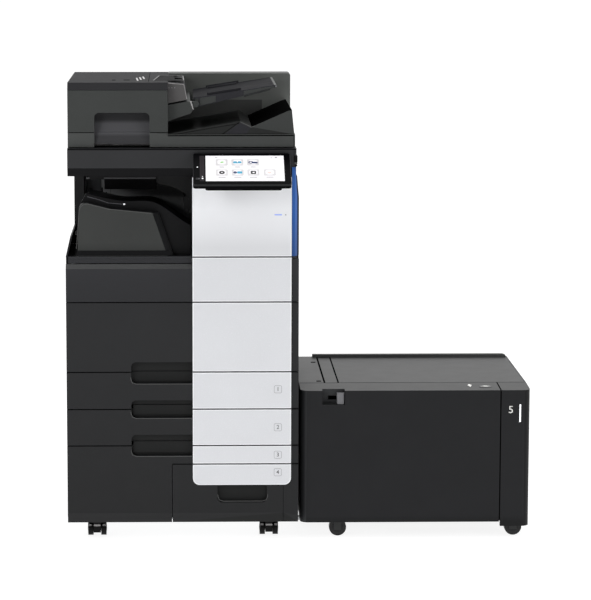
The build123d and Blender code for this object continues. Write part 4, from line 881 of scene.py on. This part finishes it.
plate.make("connector_plate", STEEL, "cabinet", "steel")
shells, sockets, contacts = Shape(), Shape(), Shape()
for x, width, tall in ((122, 18, 15), (152, 15, 8), (176, 15, 8), (204, 14, 12), (232, 14, 12)):
    shells.ring(box_outline(x, CONNECTOR_Z, width + 3, tall + 3, 0.8),
                box_outline(x, CONNECTOR_Z, width, tall, 0.5), "Y", REAR_Y, REAR_Y + 1.6)
    sockets.prism(box_outline(x, CONNECTOR_Z, width + 0.2, tall + 0.2, 0.5), "Y", REAR_Y, REAR_Y + 0.6)
    for step in range(4):
        u = x - width / 4 + step * width / 6
        contacts.prism(box_outline(u, CONNECTOR_Z - tall / 5, width / 18, tall / 3), "Y", REAR_Y + 0.4,
                       REAR_Y + 0.9)
shells.make("connector_shells", SCREW, "cabinet", "steel", 0.2)
sockets.make("connector_sockets", GAP, "cabinet", "black_plastic")
contacts.make("connector_contacts", COPPER, "cabinet", "steel")
pins = Shape()
for x, z in ((221, 128), (237, 128), (229, 137)):
    pins.prism(box_outline(x, z, 2.2, 5.4, 0.5), "Y", REAR_Y - 3, REAR_Y + 1)
pins.make("inlet_pins", COPPER, "cabinet", "steel")
for name, out in (("left", -1), ("right", 1)):
    low, high = sorted((COVER_X * out, (COVER_X + 1.2) * out))
    handle = Shape().ring(box_outline(HANDLE_Y, HANDLE_Z, 118, 34, 8),
                          box_outline(HANDLE_Y, HANDLE_Z, 110, 26, 6), "X", low, high)
    handle.make(name + "_handle_rim", BLACK, "cabinet", "black_plastic", 0.4)
    # Painted shade: a flat dark sheet for the shaded inside of the handle recess.
    recess = Shape().prism(box_outline(HANDLE_Y, HANDLE_Z, 111, 27, 6), "X", COVER_X * out - 0.2,
                           COVER_X * out + 0.2)
    recess.make(name + "_handle_recess", UNDERCUT_SHADE, "cabinet", "black_plastic")
grille = Shape()
for row in range(10):
    for y in (372, 442):
        grille.prism(box_outline(y, 560 + 12 * row, 60, 4.5, 2.2, 3), "X", -COVER_X - 0.15, -COVER_X + 0.2)
grille.prism(rect(30, 553, 456.2, 457.6), "X", -COVER_X - 0.12, -COVER_X + 0.2)
grille.make("left_cover_grille", GAP, "cabinet", "black_plastic")
screws("left_cover_screws", [(40, 60), (540, 60), (540, 440), (540, 740)], "X", -COVER_X, -1, "cabinet")
screws("right_cover_screws", [(540, 60), (540, 440), (540, 860)], "X", COVER_X, 1, "cabinet")
latch = Shape().ring(box_outline(LATCH_Y, LATCH_Z, 92, 26, 6), box_outline(LATCH_Y, LATCH_Z, 84, 18, 4),
                     "X", COVER_X - 0.2, COVER_X + 1.1)
latch.make("right_door_latch_rim", BLACK, "door_right", "black_plastic", 0.3)
# Painted shade: a flat dark sheet for the shaded inside of the latch recess.
latch = Shape().prism(box_outline(LATCH_Y, LATCH_Z, 85, 19, 4), "X", COVER_X - 0.2, COVER_X + 0.3)
latch.make("right_door_latch", UNDERCUT_SHADE, "door_right", "black_plastic")
marks = Shape()
for outline in (rect(150, 152, 612, 700), rect(378, 380, 612, 700), [(258, 640), (272, 640), (265, 630)]):
    marks.prism(outline, "X", COVER_X - 0.4, COVER_X)
marks.make("bypass_marks", PRINT, "bypass", "lever_grey")
screws("side_rear_screws", [(330, 64), (330, 380), (912, 64), (912, 380), (620, 64)], "Y", SIDE_REAR_Y, 1,
       "side_unit")
Shape().prism(rect(316, 926, 215.4, 216.8), "Y", SIDE_REAR_Y - 0.1, SIDE_REAR_Y + 0.12).make(
    "side_rear_seam", GAP, "side_unit", "black_plastic")
screws("side_right_screws", [(150, 64), (548, 64), (548, 380)], "X", SIDE_RIGHT_X, 1, "side_unit")

bed = Shape()
for y in range(150, 520, 60):
    bed.prism(box_outline(600, y, 290, 3, 1.4, 3), "Z", 86.9, 87.3)
bed.make("lift_plate_ribs", PRINT_DARK, "side_lift", "steel")
Shape().prism(box_outline(592, 152, 120, 22, 3), "Z", 86.9, 88.4).make(
    "lift_plate_pad", RUBBER, "side_lift", "rubber", 0.4)
# The levers take the screen's emissive green, so they glow faintly: painted light.
levers = Shape().prism(box_outline(234, 726, 34, 12, 4), "Y", 44, 60)
levers.prism(box_outline(170, 608, 26, 12, 4), "Y", 40, 54)
levers.make("engine_release_levers", UI_GREEN, "cabinet", "blue", 0.8)
screws("engine_screws", [(x, z) for x in (-285, 165, 282) for z in (470, 590, 745)], "Y", 32, -1, "cabinet",
       radius=3.0)
ribs = Shape()
for _, x in TONERS_X:
    for u, v in circle(x, TONER_Z, 27, 12):
        ribs.prism(box_outline(u, v, 2.4, 2.4, 0.6, 3), "Y", 29.4, 30.2)
ribs.make("toner_cap_ribs", BLACK, "cabinet", "black_plastic")

# ---------------------------------------------------------------- floor, light and camera
floor_mesh = bpy.data.meshes.new("floor")
floor_mesh.from_pydata([(-14, -12, 0), (14, -12, 0), (14, 16, 0), (-14, 16, 0)], [], [(0, 1, 2, 3)])
floor = bpy.data.objects.new("floor", floor_mesh)
floor_mat, floor_tree, floor_shader = new_material("pale_floor")
floor_tree.links.new(mix(floor_tree, spread(floor_tree, noise(floor_tree, 3.0), 0, 1), (0.27, 0.27, 0.27),
                         (0.29, 0.29, 0.29)), floor_shader.inputs["Base Color"])
floor_shader.inputs["Emission Color"].default_value = (1, 1, 1, 1)
floor_shader.inputs["Emission Strength"].default_value = 0.87
floor_shader.inputs["Roughness"].default_value = 0.8
floor_mesh.materials.append(floor_mat)
scene.collection.objects.link(floor)

world = bpy.data.worlds.new("studio")
world.use_nodes = True
sky = world.node_tree
sky.nodes["Background"].inputs["Color"].default_value = (1, 1, 1, 1)
direction = sky.nodes.new("ShaderNodeTexCoord")
facing = sky.nodes.new("ShaderNodeVectorMath")
facing.operation = "DOT_PRODUCT"
facing.inputs[1].default_value = (0, 0.95, 0.45)
sky.links.new(direction.outputs["Generated"], facing.inputs[0])
sky.links.new(spread(sky, facing.outputs["Value"], 0.10, 1.05, -0.25, 0.30),
              sky.nodes["Background"].inputs["Strength"])
scene.world = world
scene.view_settings.view_transform = "Standard"


def soft_light(name, place, target, size, power):
    lamp = bpy.data.lights.new(name, "AREA")
    lamp.shape = "RECTANGLE"
    lamp.size, lamp.size_y = size
    lamp.energy = power
    obj = bpy.data.objects.new(name, lamp)
    obj.location = place
    obj.rotation_mode = "QUATERNION"
    obj.rotation_quaternion = (Vector(target) - Vector(place)).to_track_quat("-Z", "Y")
    scene.collection.objects.link(obj)
    return obj


soft_light("top_light", (0.1, 0.2, 3.6), (0.1, 0.0, 0.6), (3.0, 2.4), 60).visible_glossy = False
soft_light("front_left_light", (-3.2, -3.4, 2.6), (-0.1, 0, 0.7), (1.8, 2.2), 72)
soft_light("front_right_light", (3.6, -3.2, 2.6), (0.1, 0, 0.6), (1.8, 2.2), 55)

camera = bpy.data.cameras.new("camera")
camera.lens = 161.4
camera.sensor_width = 36
camera.shift_x = 0.10
eye = bpy.data.objects.new("camera", camera)
eye.location = at(0, -7032.6, 1641.8)
eye.rotation_euler = Euler((math.radians(90 - 8.036), 0, math.radians(-1.14)))
scene.collection.objects.link(eye)
scene.camera = eye
